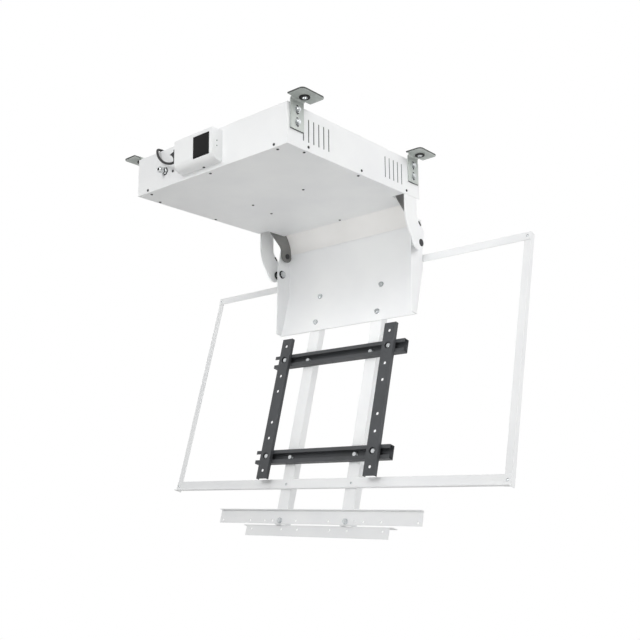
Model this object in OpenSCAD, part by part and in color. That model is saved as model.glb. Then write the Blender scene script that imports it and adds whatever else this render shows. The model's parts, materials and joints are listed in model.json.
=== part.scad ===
// Motorized flip-down ceiling mount. Millimetres. The origin lies on the ceiling plane, at the centre of the
// four ceiling holes. X runs along the front wall, Y to the rear, where the arms are, and Z up.

/* [Housing] */
// Width of the housing
housing_w = 580; // [560:5:640]
// Depth of the housing from front wall to rear wall
housing_d = 565; // [545:5:640]
// Height of the housing
housing_h = 110; // [110:1:118]
// Free height between the housing and the ceiling
ceiling_gap = 16; // [12:1:18]
// Thickness of the folded wall sheet
sheet_t = 1.5; // [1.2:0.1:2]
// Thickness of the bottom cover sheet
cover_t = 1.5; // [1.2:0.1:2]
// Width of the return lip at the foot of the walls
lower_lip = 22; // [18:1:24]
// Width of the return lip at the top of the walls
upper_lip = 15; // [10:1:16]
// Width of the notch in each rear corner of the bottom cover
notch_w = 42; // [42:1:46]
// Length of that notch along the housing
notch_l = 77; // [75:1:84]
// Width of the opening in each end of the rear wall
bay_w = 52; // [48:1:56]
// Height of the bridge left above each of those openings
bridge_h = 30; // [20:1:32]

/* [Vents] */
// Width of one vent slot
vent_w = 4; // [3:0.5:6]
// Height of one vent slot
vent_h = 62; // [50:1:64]
// Distance from one slot to the next
vent_pitch = 19.5; // [16:0.5:20]
// Height of the slots' middle above the housing's underside
vent_rise = 55; // [53:1:57]
// Slots in the front group
front_vents = 6; // [3:1:6]
// Slots in the rear group
rear_vents = 5; // [3:1:5]
// Distance from the front wall to the middle of the front group
front_vent_y = 108; // [107:1:116]
// Distance from the front wall to the middle of the rear group
rear_vent_y = 439.5; // [430:0.5:442]

/* [Ceiling brackets] */
// Distance between the front and rear brackets
bracket_spacing = 500; // [496:1:502]
// Length of the ceiling plate along the housing
plate_l = 85; // [75:1:90]
// Width of the ceiling plate, outwards from the wall
plate_w = 60; // [56:1:70]
// Thickness of the bracket steel
bracket_t = 4; // [3:0.5:5]
// Width of the bracket's leg
leg_w = 48; // [44:1:50]
// Height of the bracket's leg
leg_h = 84; // [80:1:90]
// Distance of the ceiling hole from the wall
hole_out = 28; // [26:1:32]
// Corner radius of the ceiling plate
plate_corner_r = 12; // [6:1:16]
// Inner radius of the bend between leg and plate
bend_r = 5; // [4:0.5:6]
// Width of the slots in the leg
leg_slot_w = 9; // [8.5:0.5:10]
// Length of the slots in the leg
leg_slot_l = 24; // [18:1:26]
// Depth of the upper bolt below the ceiling
upper_bolt_z = 30; // [29.5:0.5:31]
// Depth of the lower bolt below the ceiling
lower_bolt_z = 63; // [61:1:66]
// Bore of the rubber bush for the ceiling bolt
bush_bore = 10.5; // [8.5:0.5:12]
// Neck diameter of the rubber bush
bush_neck = 17; // [16:0.5:18]
// Flange diameter of the rubber bush
bush_flange = 28; // [24:1:32]
// Flange thickness of the rubber bush
bush_flange_t = 3; // [2:0.5:4]

/* [Front cover] */
// Distance of the front cover's left end from the centre line
front_cover_left = 92; // [86:1:96]
// Distance of its right end from the centre line
front_cover_right = 59; // [58:1:80]
// Depth of the front cover in front of the wall
front_cover_d = 35; // [34:1:45]
// Height of the front cover
front_cover_h = 87; // [84:1:90]
// Height of its underside above the housing's underside
front_cover_rise = 13; // [10:1:15]
// Radius of its rounded lower edge
front_cover_r = 24; // [16:1:26]
// Wall of the front cover
front_cover_t = 2; // [1.6:0.1:2.4]
// Width of the receiver window
window_w = 62; // [50:1:62]
// Height of the receiver window
window_h = 60; // [50:1:62]
// Distance of the window's middle from the centre line
window_x = 15; // [10:1:16]
// Height of the window's middle above the housing's underside
window_rise = 60; // [59:1:62]
// Distance of the cable gland from the centre line
gland_x = 172; // [166:1:180]
// Height of the cable gland above the housing's underside
gland_rise = 46; // [44:1:50]

/* [Arms and hinge] */
// Drop of the main hinge below the housing's underside
hinge_drop = 127; // [126:1:130]
// Distance of the main hinge behind the rear wall
hinge_back = 5; // [4:1:7]
// Thickness of the outer arms
arm_t = 5; // [4:0.5:5.5]
// Width of the outer arms where they leave the housing
arm_w = 58; // [56:1:60]
// Distance of the arm's rear edge in front of the rear wall
arm_setback = 13; // [11:1:14]
// Radius of the arm's rounded foot
arm_foot_r = 29; // [28:0.5:31]
// Radius of the front edge's sweep
arm_sweep_r = 105; // [100:1:110]
// Drop below the housing at which the sweep starts
arm_sweep_drop = 45; // [42:1:50]
// Diameter of the hinge and link pins
pin_d = 12; // [10:0.5:13]
// Outer diameter of the black hinge bushes
hinge_bush_d = 22; // [20:0.5:23]
// Radial running clearance of pins and shafts
run_gap = 0.05; // [0.03:0.01:0.08]
// Radial play of the lower link pins
link_play = 0.3; // [0.2:0.05:0.4]

/* [Drive] */
// Length of the cranks, the same as the distance from hinge to lower link pin
crank_l = 63; // [61:0.5:64]
// Angle of the cranks above the rearward direction when open
crank_angle = 78; // [76:0.5:80]
// Forward run of the links from their lower to their upper pin
link_run = 83; // [81:0.5:85]
// Rise of the links from their lower to their upper pin
link_rise = 156; // [155:0.5:157]
// Thickness of the link plates
link_t = 4; // [3:0.5:4.5]
// Distance of the link plates' inner faces from the centre line
link_x = 250; // [249:0.5:251]
// Radius of the link's foot round its lower pin
link_foot_r = 20; // [18:0.5:20]
// Radius of the link's head round its upper pin
link_head_r = 16; // [14:0.5:16]
// Radius of the curved link panel
panel_r = 98; // [96:1:100]
// Thickness of the curved link panel
panel_t = 2; // [1.5:0.1:2]
// Outer diameter of the drive shaft
shaft_d = 25; // [22:0.5:26]
// Bore of the drive shaft
shaft_bore = 17; // [10:1:18]
// Thickness of the cranks
crank_t = 6; // [5:0.5:7]
// Module of the worm wheel
gear_module = 1.5; // [1.4:0.05:1.5]
// Teeth of the worm wheel
gear_teeth = 30; // [28:1:30]
// Width of the worm wheel's teeth
gear_w = 10; // [8:1:12]
// Pitch radius of the worm
worm_r = 8; // [7.6:0.1:8.2]
// Turns of the worm's thread
worm_turns = 5; // [4:1:5]
// Diameter of the worm's journals
journal_d = 8; // [6:0.5:9]
// Outer diameter of the motor
motor_d = 60; // [50:1:61]
// Length of the motor's can
motor_l = 105; // [90:1:106]

/* [Neck] */
// Half the width over the neck's flanges
neck_x = 265; // [264:0.5:267]
// Thickness of the neck's sheet
neck_t = 3; // [2.5:0.5:3]
// Distance of the neck's rear face behind the main hinge
neck_back = 39; // [39:0.5:41]
// Depth of the neck's flanges
neck_flange = 59; // [56:1:62]
// Height of the neck's top above the main hinge
neck_top = 82; // [80:0.5:83]
// Drop of the bend below the main hinge
neck_bend_drop = 63; // [60:1:70]
// Length of the neck's leaning part
neck_tail = 150; // [140:1:160]
// Depth of the flanges at the neck's lower end
neck_tail_flange = 25; // [20:1:30]
// Lean of the carrier from upright, lower end to the front
carrier_lean = 15.4; // [14:0.1:17]

/* [Carrier] */
// Length of the top rail
top_rail_l = 1218; // [1140:2:1300]
// Height of the top rail
top_rail_h = 24; // [20:1:28]
// Rise of the top rail's upper edge above the neck's bend, along the carrier
top_rail_rise = 43; // [42:1:45]
// Wall of the carrier's rails
rail_t = 2; // [1.5:0.1:2.2]
// Depth of the top rail's and side strips' flanges
rail_flange = 20; // [18:1:22]
// Distance of the uprights' middle from the centre line
upright_x = 121; // [110:1:126]
// Width of the uprights
upright_w = 40; // [36:1:44]
// Depth of the uprights
upright_d = 25; // [20:1:28]
// Drop of the side strips' ends below the neck's bend
strip_drop = 655; // [645:1:665]
// Length of the uprights below the side strips' ends
upright_below = 102; // [98:1:120]
// Width of the side strips
strip_w = 20; // [16:1:24]
// Height of the frame rail that ties the side strips
frame_rail_h = 30; // [24:1:32]
// Length of the lower rail
lower_rail_l = 740; // [730:2:760]
// Height of the lower rail
lower_rail_h = 40; // [36:1:44]
// Length of the bottom ledge
ledge_l = 524; // [510:2:560]
// Height of the bottom ledge
ledge_h = 31; // [26:1:34]
// Overhang of the ledge's flange at each end
ledge_over = 12; // [2:1:14]
// Length of the two cross rails
cross_rail_l = 500; // [480:2:600]
// Height of the cross rails
cross_rail_h = 40; // [38:1:46]
// Depth of the cross rails
cross_rail_d = 20; // [18:1:24]
// Hole spacing of the load pattern, both ways
load_pitch = 400; // [380:10:420]
// Drop of the load pattern's middle, as a share of the side strips' drop
load_share = 0.618; // [0.613:0.001:0.622]
// Diameter of the load holes
load_hole_d = 8.5; // [6.5:0.5:9]
// Width of the load arms
load_arm_w = 40; // [36:1:44]
// Depth of the load arms
load_arm_d = 12; // [11:0.5:14]
// Length of the load arms
load_arm_l = 450; // [440:2:460]

/* [Fasteners] */
// Thread diameter of the bracket bolts and frame bolts
bolt_d = 8; // [7:0.5:8]
// Width across the flats of their heads
bolt_af = 13; // [12:0.5:14]
// Height of their heads
bolt_head = 5.3; // [4:0.1:5.5]
// Outer diameter of the washers
washer_d = 17; // [16:0.5:17.5]
// Thickness of the washers
washer_t = 1.6; // [1.2:0.1:1.8]
// Height of the hex nuts
nut_h = 6.5; // [5:0.5:7]
// Thread diameter of the sheet screws
screw_d = 4; // [3:0.5:4]
// Head diameter of the sheet screws
screw_head = 7.4; // [6:0.2:8]
// Head height of the sheet screws
screw_head_h = 2.2; // [1.6:0.1:2.6]
// Radial clearance of screws and bolts in their holes
hole_gap = 0.25; // [0.1:0.05:0.3]

/* [Hidden] */
$fn = 48;

// One overrun serves all cuts, and one axial gap all faces that turn past each other
cut = 1;
turn_gap = 0.3;

// Housing
side_x = housing_w / 2;
inner_x = side_x - sheet_t;
front_y = -housing_d / 2;
rear_y = housing_d / 2;
top_z = -ceiling_gap;
under_z = top_z - housing_h;
floor_z = under_z + cover_t;
seam = 0.1;

// Hinge, links and drive shaft: a parallelogram of hinge, lower pin, upper pin and shaft
hinge_y = rear_y + hinge_back;
hinge_z = under_z - hinge_drop;
crank_y = crank_l * cos(crank_angle);
crank_z = crank_l * sin(crank_angle);
low_pin_y = hinge_y + crank_y;
low_pin_z = hinge_z + crank_z;
shaft_y = hinge_y - link_run;
shaft_z = hinge_z + link_rise;
high_pin_y = shaft_y + crank_y;
high_pin_z = shaft_z + crank_z;

// Arm outline: a straight strip, a sweep to the rear, a round foot, a bulge and a fillet behind
arm_x = inner_x - arm_t;
arm_rear = rear_y - arm_setback;
arm_front = arm_rear - arm_w;
arm_top_gap = 5;
foot_y = hinge_y - 13;
foot_z = hinge_z + 5;
bulge_r = 25;
bulge_z = hinge_z + 27;
fillet_r = 20;
fillet_z = under_z - 46;
adjust_slot_w = 5;
adjust_slot_l = 16;
adjust_slot_y = hinge_y - 6;
adjust_slot_z = hinge_z + 56;
adjust_slot_lean = -48.5;
hinge_bush_flange_r = 14;
hinge_bush_flange_t = 2;
hinge_bush_end = 1;
hinge_blind_x = inner_x - hinge_bush_end;

// Link outline: head, straight front edge, elbow, knee, round foot, and the panel's curve as rear edge
elbow_y = low_pin_y - 74;
elbow_z = low_pin_z + 61;
elbow_rise = 30;
knee_y = low_pin_y - 33;
knee_z = low_pin_z + 27;
heel_y = low_pin_y - 6;
heel_rise = 15;
head_angle = 35;
panel_sweep = 42;
panel_y = low_pin_y + link_foot_r - 1 - panel_r;
panel_z = low_pin_z + 8;
bush_wall = 2.5;
bush_stand = 0.5;
high_bush_bore = pin_d / 2 + run_gap;
low_bush_bore = pin_d / 2 + link_play;
pin_head_t = 6;
pin_head_af = 19;
hinge_head_t = 7;
spacer_r = 9;
ring_t = 1.2;
pin_end = 1;

// Rails and beams inside the housing
rail_leg = 20;
rail_w = 23;
rail_steel = 3;
rail_z = top_z - sheet_t;
rail_end_gap = 2;
backing_h = 40;
backing_w = 44;
beam_w = 50;
beam_h = 14;
beam_t = 2.5;
beam_y = shaft_y - 62;
beam_z = rail_z - rail_steel;
beam_x = inner_x - rail_steel;
beam_edge = 2;
plate_y0 = beam_y + beam_t + beam_edge;
plate_y1 = beam_y + beam_w - beam_t - beam_edge;
rail_screw_x = inner_x - rail_w + 5;
rail_screw_ys = [beam_y + 12, beam_y + beam_w - 12];
mid_beam_w = 26;
mid_beam_h = 24;
mid_beam_y = shaft_y - 215.5;
mid_beam_t = 2;
mid_beam_x = side_x - lower_lip;
tab_over = 6;
tab_end_gap = 2.5;

// Bearings, cranks and collars on the drive shaft
bearing_x = 222;
bearing_plate_t = 6;
bearing_lobe_r = 26;
bearing_hub_r = 17;
bearing_flange_r = 24;
bearing_flange_t = 5;
shoulder_rise = 37;
plate_foot_w = 22;
plate_foot_t = 6;
plate_screw_x = bearing_x - plate_foot_w / 2;
plate_screw_ys = [plate_y0 + 8, plate_y1 - 8];
crank_x = 240;
crank_hub_r = 20;
crank_end_r = 14;
crank_web_in = 0.5;
shaft_end = 1;

// Worm wheel and worm
pitch_r = gear_module * gear_teeth / 2;
wheel_tip_r = pitch_r + gear_module;
wheel_root_r = pitch_r - 1.25 * gear_module;
wheel_hub_r = shaft_d / 2 + 4.5;
wheel_hub_l = 24;
tooth_root_w = 1.25 * gear_module;
tooth_tip_w = 0.7 * gear_module;
tooth_sink = 0.4 * gear_module;
worm_y = shaft_y;
worm_z = shaft_z + pitch_r + worm_r;
worm_pitch = PI * gear_module;
worm_l = worm_pitch * worm_turns;
worm_lead = atan(worm_pitch / (2 * PI * worm_r));
worm_tip_r = worm_r + 0.8 * gear_module;
worm_root_r = worm_r - 1.25 * gear_module;
thread_tip_angle = 51;
thread_root_angle = 71;
shoulder_l = 3;
shoulder_r = 6;

// Gearbox and motor
room_gap = 0.6;
wheel_room_r = wheel_tip_r + room_gap;
worm_room_r = worm_tip_r + room_gap;
wheel_room_l = 28;
case_wall = 2.4;
case_r = wheel_room_r + case_wall;
end_wall = 3;
lug_r = 4;
lug_out = case_r + 1;
lug_angles = [20, 160, 215, 325];
head_l = 66;
head_w = 27;
head_end_wall = 2;
motor_y = worm_y - head_l / 2;
case_foot_l = 15;
case_foot_w = 28;
case_foot_y = motor_y + 1;
case_screw = [case_foot_w / 4, case_foot_y + case_foot_l / 2];
motor_wall = 2;
motor_face_t = 3;
end_cap_t = 5;
spigot_l = 3;
rotor_r = 20;
rotor_l = 70;
rotor_gap = 1.5;
magnet_over = 1;
motor_mid_y = motor_y - motor_l / 2;

// Boards and power supply
board_t = 1.6;
board_l = 140;
board_w = 90;
board_x = -120;
board_y = front_y + 25.5;
board_z = floor_z + 8;
board_top = board_z + board_t;
post_r = 3.5;
post_in = 6;
socket_l = 12;
socket_w = 16;
socket_h = 12;
socket_z = board_z + 8.5;
motor_socket_x = board_x + round(0.8 * board_l);
supply_socket_x = board_x + round(0.371 * board_l);
receiver_socket_x = board_x + round(0.657 * board_l);
supply_l = 160;
supply_w = 100;
supply_h = 40;
supply_x = -215;
supply_y = shaft_y - 156.5;
terminal_l = 14;
terminal_h = 18;
sensor_t = 6;
sensor_w = 10;

// Front cover and what is on it
cover_front_y = front_y - front_cover_d;
cover_low_z = under_z + front_cover_rise;
cover_top_z = cover_low_z + front_cover_h;
window_z = under_z + window_rise;
window_gap = 0.3;
window_depth = 6;
light_d = 3;
light_gap = 0.1;
light_stand = 0.8;
light_y = front_y - 19;
light_zs = [under_z + 66, under_z + 52];
receiver_x = window_x - 41;
receiver_w = 74;
receiver_h = 50;
receiver_back = 22.5;
receiver_post_r = 3;
receiver_post_in = 5;
eye_r = 4;
eye_l = 6;
cable_hole_r = 8;
cable_hole_x = -20;
cable_hole_z = under_z + 50;
block_w = 12;
block_d = 11;
block_h = 6;
cover_screw_x = -5;
connector_t = 12;
connector_w = 16;
connector_h = 40;
connector_y = front_y - 20;
connector_z = under_z + 62;
boss_z = under_z + 50;
boss_r = 5;
boss_l = 4;
gland_hex_r = 11;
gland_hex_t = 6;
gland_neck_l = 3;
gland_cap_r = 9;
gland_cap_l = 8;
gland_tip_r = 6;
gland_tip_l = 7;
gland_bore_r = 3.5;
gland_thread_r = 8;
gland_nut_t = 5;

// Screw places: under the bottom cover, on the side walls and on the front wall
screw_l = 9;
nut_ring_r = 4.5;
nut_ring_h = 4;
lip_screw_y = front_y + round(0.513 * housing_d);
lip_screws = [[45 - side_x, front_y + 13.5], [0, front_y + 13.5], [side_x - 45, front_y + 13.5],
  [10 - side_x, front_y + 72], [side_x - 10, front_y + 72], [10 - side_x, lip_screw_y],
  [side_x - 10, lip_screw_y], [0, rear_y - 12]];
beam_screws = [[-99, mid_beam_y], [99, mid_beam_y]];
supply_screw = [supply_x + 102, supply_y + 33.5];
wall_screw_ys = [front_y + 77, lip_screw_y + 2];
arm_screw_y = arm_front + 6;
wall_screw_z = under_z + 12;
front_screw_x = side_x - 45;
front_screw_z = under_z + 8;
earth_screw = [-138, under_z + 38];

// Neck and carrier
upright_drop = strip_drop + upright_below;
load_drop = round(load_share * strip_drop);
bend_y = hinge_y + neck_back;
bend_z = hinge_z - neck_bend_drop;
neck_top_z = hinge_z + neck_top;
ear_y = hinge_y - 5;
waist_y = hinge_y - 14;
waist_rise = 35;
shoulder_gap = 16;
neck_bolts = [30, 120];
carrier_top = top_rail_rise - rail_t;
strip_x = top_rail_l / 2;
strip_mid = strip_x - strip_w / 2;
rail_screw_z = top_rail_rise - 12;
frame_screw_z = frame_rail_h / 2 - strip_drop;
top_screw_shares = [0.25, 0.348, 0.446];
top_screws = [for (share = top_screw_shares) round(share * top_rail_l)];
top_screw_y = 8;
rail_screw_l = 6;
rail_lip = 12;
lower_rail_drop = upright_drop - 2;
lower_hole_z = 9 - lower_rail_drop;
lower_hole_d = 6;
lower_holes = [60, 151, 182, 241, 357];
ledge_back = 9;
ledge_holes = [60, 121, 241];
ledge_hole_drop = 11;
cross_rail_out = 155;
strut_lip = 11;
load_rows = [load_pitch / 2, 100, 50];
load_foot_l = 24;
access_hole_d = 19;
channel_nut_w = 20;
channel_nut_t = 6;

// Routes of the leads as measured, and the same routes drawn to where their two ends are now
sensor_lead_r = 3.5;
sensor_route = drawn([[-108, -302.5, -76], [-122, -302.5, -76], [-138, -303, -72], [-154, -303, -64],
  [-168, -302, -53], [-180, -300, -40], [-189, -297, -26], [-196, -291, -14], [-200, -281, -9],
  [-202, -270, -9], [-202, -260, -15], [-201, -253, -27], [-198, -249, -42], [-190, -247, -58],
  [-179, -245, -73], [-165, -242, -87], [-150, -239, -99], [-136, -236.5, -108], [-120, -236.5, -108]],
  [-front_cover_left - connector_t - boss_l, connector_y, boss_z],
  [board_x, board_y + 12.5 + socket_w / 2, socket_z]);
motor_lead_r = 2.5;
motor_route = drawn([[12, 61.5, -86], [12, 49, -86], [12, 36, -88], [12, 23, -91], [12, 10, -93], [12, -3, -94],
  [12, -16, -94], [12, -29, -95], [11, -42, -97], [10, -55, -99], [8, -68, -102], [6, -81, -104],
  [4, -94, -106], [2, -107, -107], [1, -120, -108], [0, -133, -108], [0, -146, -108], [0, -167, -108]],
  [12, motor_y - motor_l - end_cap_t, worm_z - 19.5],
  [motor_socket_x + socket_w / 2, board_y + board_w, socket_z]);
supply_route = drawn([[-55, 90, -114], [-43, 90, -114], [-33, 84, -113], [-28, 73, -110], [-27, 60, -106],
  [-27, 34, -97], [-27, 21, -95], [-27, 8, -94], [-27, -5, -94], [-27, -18, -94], [-28, -31, -95],
  [-30, -44, -98], [-33, -57, -101], [-37, -70, -104], [-42, -83, -106], [-47, -96, -107], [-52, -109, -108],
  [-56, -122, -108], [-60, -148, -108], [-60, -167, -108]],
  [supply_x + supply_l, supply_y + 42, floor_z + 10.5],
  [supply_socket_x + socket_w / 2, board_y + board_w, socket_z]);
receiver_lead_r = 1.5;
receiver_route = drawn([[-20, -303.4, -76], [-20, -299, -76], [-20, -294, -76], [-20, -288, -76],
  [-20, -282, -77], [-20, -276, -79], [-20, -270, -81.5], [-20, -264, -83.5], [-20, -258, -85],
  [-20, -253, -86.5], [-20, -250, -88.5], [-20, -248, -91], [-20, -247.3, -94], [-20, -247, -98],
  [-20, -247, -102.9]],
  [cable_hole_x, front_y - receiver_back + board_t, cable_hole_z],
  [receiver_socket_x + socket_w / 2, board_y + 4 + socket_l / 2, board_top + socket_h]);

// A route p drawn to new ends a and b: its points shift by shares of the two shifts, its drops keep in scale
function drawn(p, a, b) = let (n = len(p) - 1) [for (i = [0 : n])
  let (t = i / n, d = (1 - t) * (a - p[0]) + t * (b - p[n]))
  [p[i][0] + d[0], p[i][1] + d[1], p[i][2] * ((1 - t) * a[2] / p[0][2] + t * b[2] / p[n][2])]];

// Points of an arc round (a, b) from angle t0 to t1
function arc(a, b, r, t0, t1, n = 8) =
  [for (i = [0 : n]) let (t = t0 + (t1 - t0) * i / n) [a + r * cos(t), b + r * sin(t)]];

// A point of the carrier's own frame, as (Y, Z) of the whole model
function leaned(y, z) = [bend_y + y * cos(carrier_lean) + z * sin(carrier_lean),
  bend_z - y * sin(carrier_lean) + z * cos(carrier_lean)];

// Direction of a lead at one of its points, and the cross direction carried along it without twist
function unit(v) = v / norm(v);
function heading(p, i) = unit(p[min(i + 1, len(p) - 1)] - p[max(i - 1, 0)]);
function across(p, i) = i == 0 ? unit(cross(heading(p, 0), [0, 0, 1]))
  : let (a = across(p, i - 1), h = heading(p, i)) unit(a - (a * h) * h);

// Turns a flat outline of (Y, Z) into a plate of thickness t that starts at x
module yz_plate(x, t) {
  translate([x, 0, 0]) rotate([90, 0, 90]) linear_extrude(t) children();
}

// Turns a flat outline of (X, Z) into a bar of length l that starts at y
module xz_bar(y, l) {
  translate([0, y + l, 0]) rotate([90, 0, 0]) linear_extrude(l) children();
}

// A round bar or bore along X
module bar_x(x, y, z, r, l) {
  translate([x, y, z]) rotate([0, 90, 0]) cylinder(r = r, h = l);
}

// A round bar or bore along Y
module bar_y(x, y, z, r, l) {
  translate([x, y, z]) rotate([-90, 0, 0]) cylinder(r = r, h = l);
}

// A box from its lowest corner and size
module block(x, y, z, dx, dy, dz) {
  translate([x, y, z]) cube([dx, dy, dz]);
}

// The same piece on the right side and mirrored on the left
module both_sides() {
  children();
  mirror([1, 0, 0]) children();
}

// Places its children in the carrier's own frame: Y to the rear, and minus Z down along the lean
module on_carrier() {
  translate([0, bend_y, bend_z]) rotate([-carrier_lean, 0, 0]) children();
}

// A slot with round ends along X, its long way up
module slot_x(w, l, depth) {
  rotate([0, 90, 0]) linear_extrude(depth) {
    square([l - w, w], center = true);
    for (s = [-1, 1]) translate([s * (l - w) / 2, 0]) circle(d = w);
  }
}

// A ring with a bore, standing on zero
module ring(r, bore_r, h) {
  difference() {
    cylinder(r = r, h = h);
    translate([0, 0, -cut]) cylinder(r = bore_r, h = h + 2 * cut);
  }
}

// A ring along X
module ring_x(x, y, z, r, bore_r, l) {
  translate([x, y, z]) rotate([0, 90, 0]) ring(r, bore_r, l);
}

// A hex bar along X, sized across its flats
module hex_x(x, y, z, af, l) {
  translate([x, y, z]) rotate([0, 90, 0]) cylinder(d = af / cos(30), h = l, $fn = 6);
}

// A hex bolt with its washer: the shank stands on the seat at zero, and the head hangs below
module hex_bolt(l) {
  cylinder(d = bolt_d, h = l);
  translate([0, 0, -washer_t]) cylinder(d = washer_d, h = washer_t);
  translate([0, 0, -washer_t - bolt_head]) cylinder(d = bolt_af / cos(30), h = bolt_head, $fn = 6);
}

// A flanged hex nut that stands on its seat at zero
module flange_nut() {
  difference() {
    union() {
      cylinder(d = washer_d, h = washer_t);
      cylinder(d = bolt_af / cos(30), h = nut_h, $fn = 6);
    }
    translate([0, 0, -cut]) cylinder(d = bolt_d + 2 * run_gap, h = nut_h + 2 * cut);
  }
}

// A pan-head screw: the shank stands on the seat at zero, and the head hangs below
module sheet_screw(l = screw_l) {
  cylinder(d = screw_d, h = l);
  translate([0, 0, -screw_head_h / 2]) cylinder(d = screw_head, h = screw_head_h / 2);
  translate([0, 0, -screw_head_h]) cylinder(d1 = 0.7 * screw_head, d2 = screw_head, h = screw_head_h / 2);
}

// A small pressed-in nut that stands on its seat at zero
module clinch_nut() {
  ring(nut_ring_r, screw_d / 2 + run_gap, nut_ring_h);
}

// A screw hole down through a sheet of thickness t that starts at z
module screw_hole(p, z, t) {
  translate([p[0], p[1], z - cut]) cylinder(d = screw_d + 2 * hole_gap, h = t + 2 * cut);
}

// Holes for the bracket bolts through a sheet of thickness t, at the front for -1 and at the rear for 1
module bracket_holes(x, t, ends, depths) {
  for (s = ends) for (z = depths)
    bar_x(x - cut, s * bracket_spacing / 2, -z, bolt_d / 2 + hole_gap, t + 2 * cut);
}

// A hole along Y through a sheet of thickness t whose front face is at y
module hole_y(x, y, z, d, t) {
  bar_y(x, y - cut, z, d / 2, t + 2 * cut);
}

// A tube along a lead's points
module lead(p, r, sides = 8) {
  n = len(p);
  rings = [for (i = [0 : n - 1]) let (a = across(p, i), b = cross(heading(p, i), a)) for (k = [0 : sides - 1])
    p[i] + r * (cos(360 * k / sides) * a + sin(360 * k / sides) * b)];
  walls = [for (i = [0 : n - 2]) for (k = [0 : sides - 1])
    let (j = (k + 1) % sides, a = i * sides, b = (i + 1) * sides)
    for (face = [[a + k, b + k, b + j], [a + k, b + j, a + j]]) face];
  ends = [[for (k = [0 : sides - 1]) k], [for (k = [sides - 1 : -1 : 0]) (n - 1) * sides + k]];
  polyhedron(rings, concat(walls, ends));
}

// A return lip of width w round the walls
module lip_ring(z, w) {
  difference() {
    block(-side_x, front_y, z, housing_w, housing_d, sheet_t);
    block(w - side_x, front_y + w, z - cut, housing_w - 2 * w, housing_d - 2 * w, sheet_t + 2 * cut);
  }
}

// Open seam between two walls at a corner: it starts at the side wall's inner face and runs in at 45 degrees
module corner_seam() {
  translate([inner_x, rear_y, floor_z - cut]) rotate([0, 0, 45])
    translate([-2 * lower_lip, 0, 0]) cube([2 * lower_lip + sheet_t, seam, housing_h + 2 * cut]);
}

// Four folded walls with their lips, vent slots and holes
module housing_shell() {
  screw_r = screw_d / 2 + hole_gap;
  color("gainsboro") difference() {
    union() {
      difference() {
        block(-side_x, front_y, floor_z, housing_w, housing_d, top_z - floor_z);
        block(-inner_x, front_y + sheet_t, floor_z - cut, 2 * inner_x, housing_d - 2 * sheet_t,
          housing_h + 2 * cut);
      }
      lip_ring(floor_z, lower_lip);
      lip_ring(top_z - sheet_t, upper_lip);
    }
    both_sides() {
      block(side_x - bay_w, rear_y - sheet_t - cut, floor_z - cut, bay_w - sheet_t, sheet_t + 2 * cut,
        top_z - bridge_h - floor_z + cut);
      block(side_x - bay_w, rear_y - notch_l, floor_z - cut, bay_w - sheet_t, notch_l + cut,
        sheet_t + 2 * cut);
      for (group = [[front_vents, front_vent_y], [rear_vents, rear_vent_y]]) for (i = [0 : group[0] - 1])
        translate([inner_x - cut, front_y + group[1] + (i - (group[0] - 1) / 2) * vent_pitch,
            under_z + vent_rise]) slot_x(vent_w, vent_h, sheet_t + 2 * cut);
      bracket_holes(inner_x, sheet_t, [-1, 1], [upper_bolt_z, lower_bolt_z]);
      for (y = concat(wall_screw_ys, [arm_screw_y]))
        bar_x(inner_x - cut, y, wall_screw_z, screw_r, sheet_t + 2 * cut);
      hole_y(front_screw_x, front_y, front_screw_z, 2 * screw_r, sheet_t);
      for (m = [0, 1]) mirror([0, m, 0]) corner_seam();
    }
    for (p = lip_screws) screw_hole(p, floor_z, sheet_t);
    hole_y(cable_hole_x, front_y, cable_hole_z, 2 * cable_hole_r, sheet_t);
    hole_y(-gland_x, front_y, under_z + gland_rise, 2 * (gland_thread_r + hole_gap), sheet_t);
    hole_y(earth_screw[0], front_y, earth_screw[1], 2 * screw_r, sheet_t);
  }
}

// Flat sheet with its two notches
module bottom_cover() {
  color("whitesmoke") difference() {
    block(-side_x, front_y, under_z, housing_w, housing_d, cover_t);
    both_sides() block(side_x - notch_w, rear_y - notch_l, under_z - cut, notch_w + cut, notch_l + cut,
      cover_t + 2 * cut);
    for (p = concat(lip_screws, beam_screws, [supply_screw])) screw_hole(p, under_z, cover_t);
  }
}

// Pan-head screws of the bottom cover, the walls, the front cover and the earth point
module sheet_screws() {
  color("silver") {
    for (p = concat(lip_screws, beam_screws, [supply_screw])) translate([p[0], p[1], under_z]) sheet_screw();
    both_sides() {
      for (y = concat(wall_screw_ys, [arm_screw_y]))
        translate([side_x, y, wall_screw_z]) rotate([0, -90, 0]) sheet_screw();
      translate([front_screw_x, front_y, front_screw_z]) rotate([-90, 0, 0]) sheet_screw();
    }
    translate([earth_screw[0], front_y, earth_screw[1]]) rotate([-90, 0, 0]) sheet_screw();
    translate([cover_screw_x, front_y - block_d / 2, cover_low_z]) sheet_screw();
  }
}

// Pressed-in nuts on the lips, the middle beam, the walls and the arms
module clinch_nuts() {
  color("darkgray") {
    for (p = lip_screws) translate([p[0], p[1], floor_z + sheet_t]) clinch_nut();
    for (p = beam_screws) translate([p[0], p[1], floor_z + mid_beam_t]) clinch_nut();
    both_sides() {
      for (y = wall_screw_ys) translate([inner_x, y, wall_screw_z]) rotate([0, -90, 0]) clinch_nut();
      translate([arm_x, arm_screw_y, wall_screw_z]) rotate([0, -90, 0]) clinch_nut();
      translate([front_screw_x, front_y + sheet_t, front_screw_z]) rotate([-90, 0, 0]) clinch_nut();
    }
    translate([earth_screw[0], front_y + sheet_t, earth_screw[1]]) rotate([-90, 0, 0]) clinch_nut();
  }
}

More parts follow.
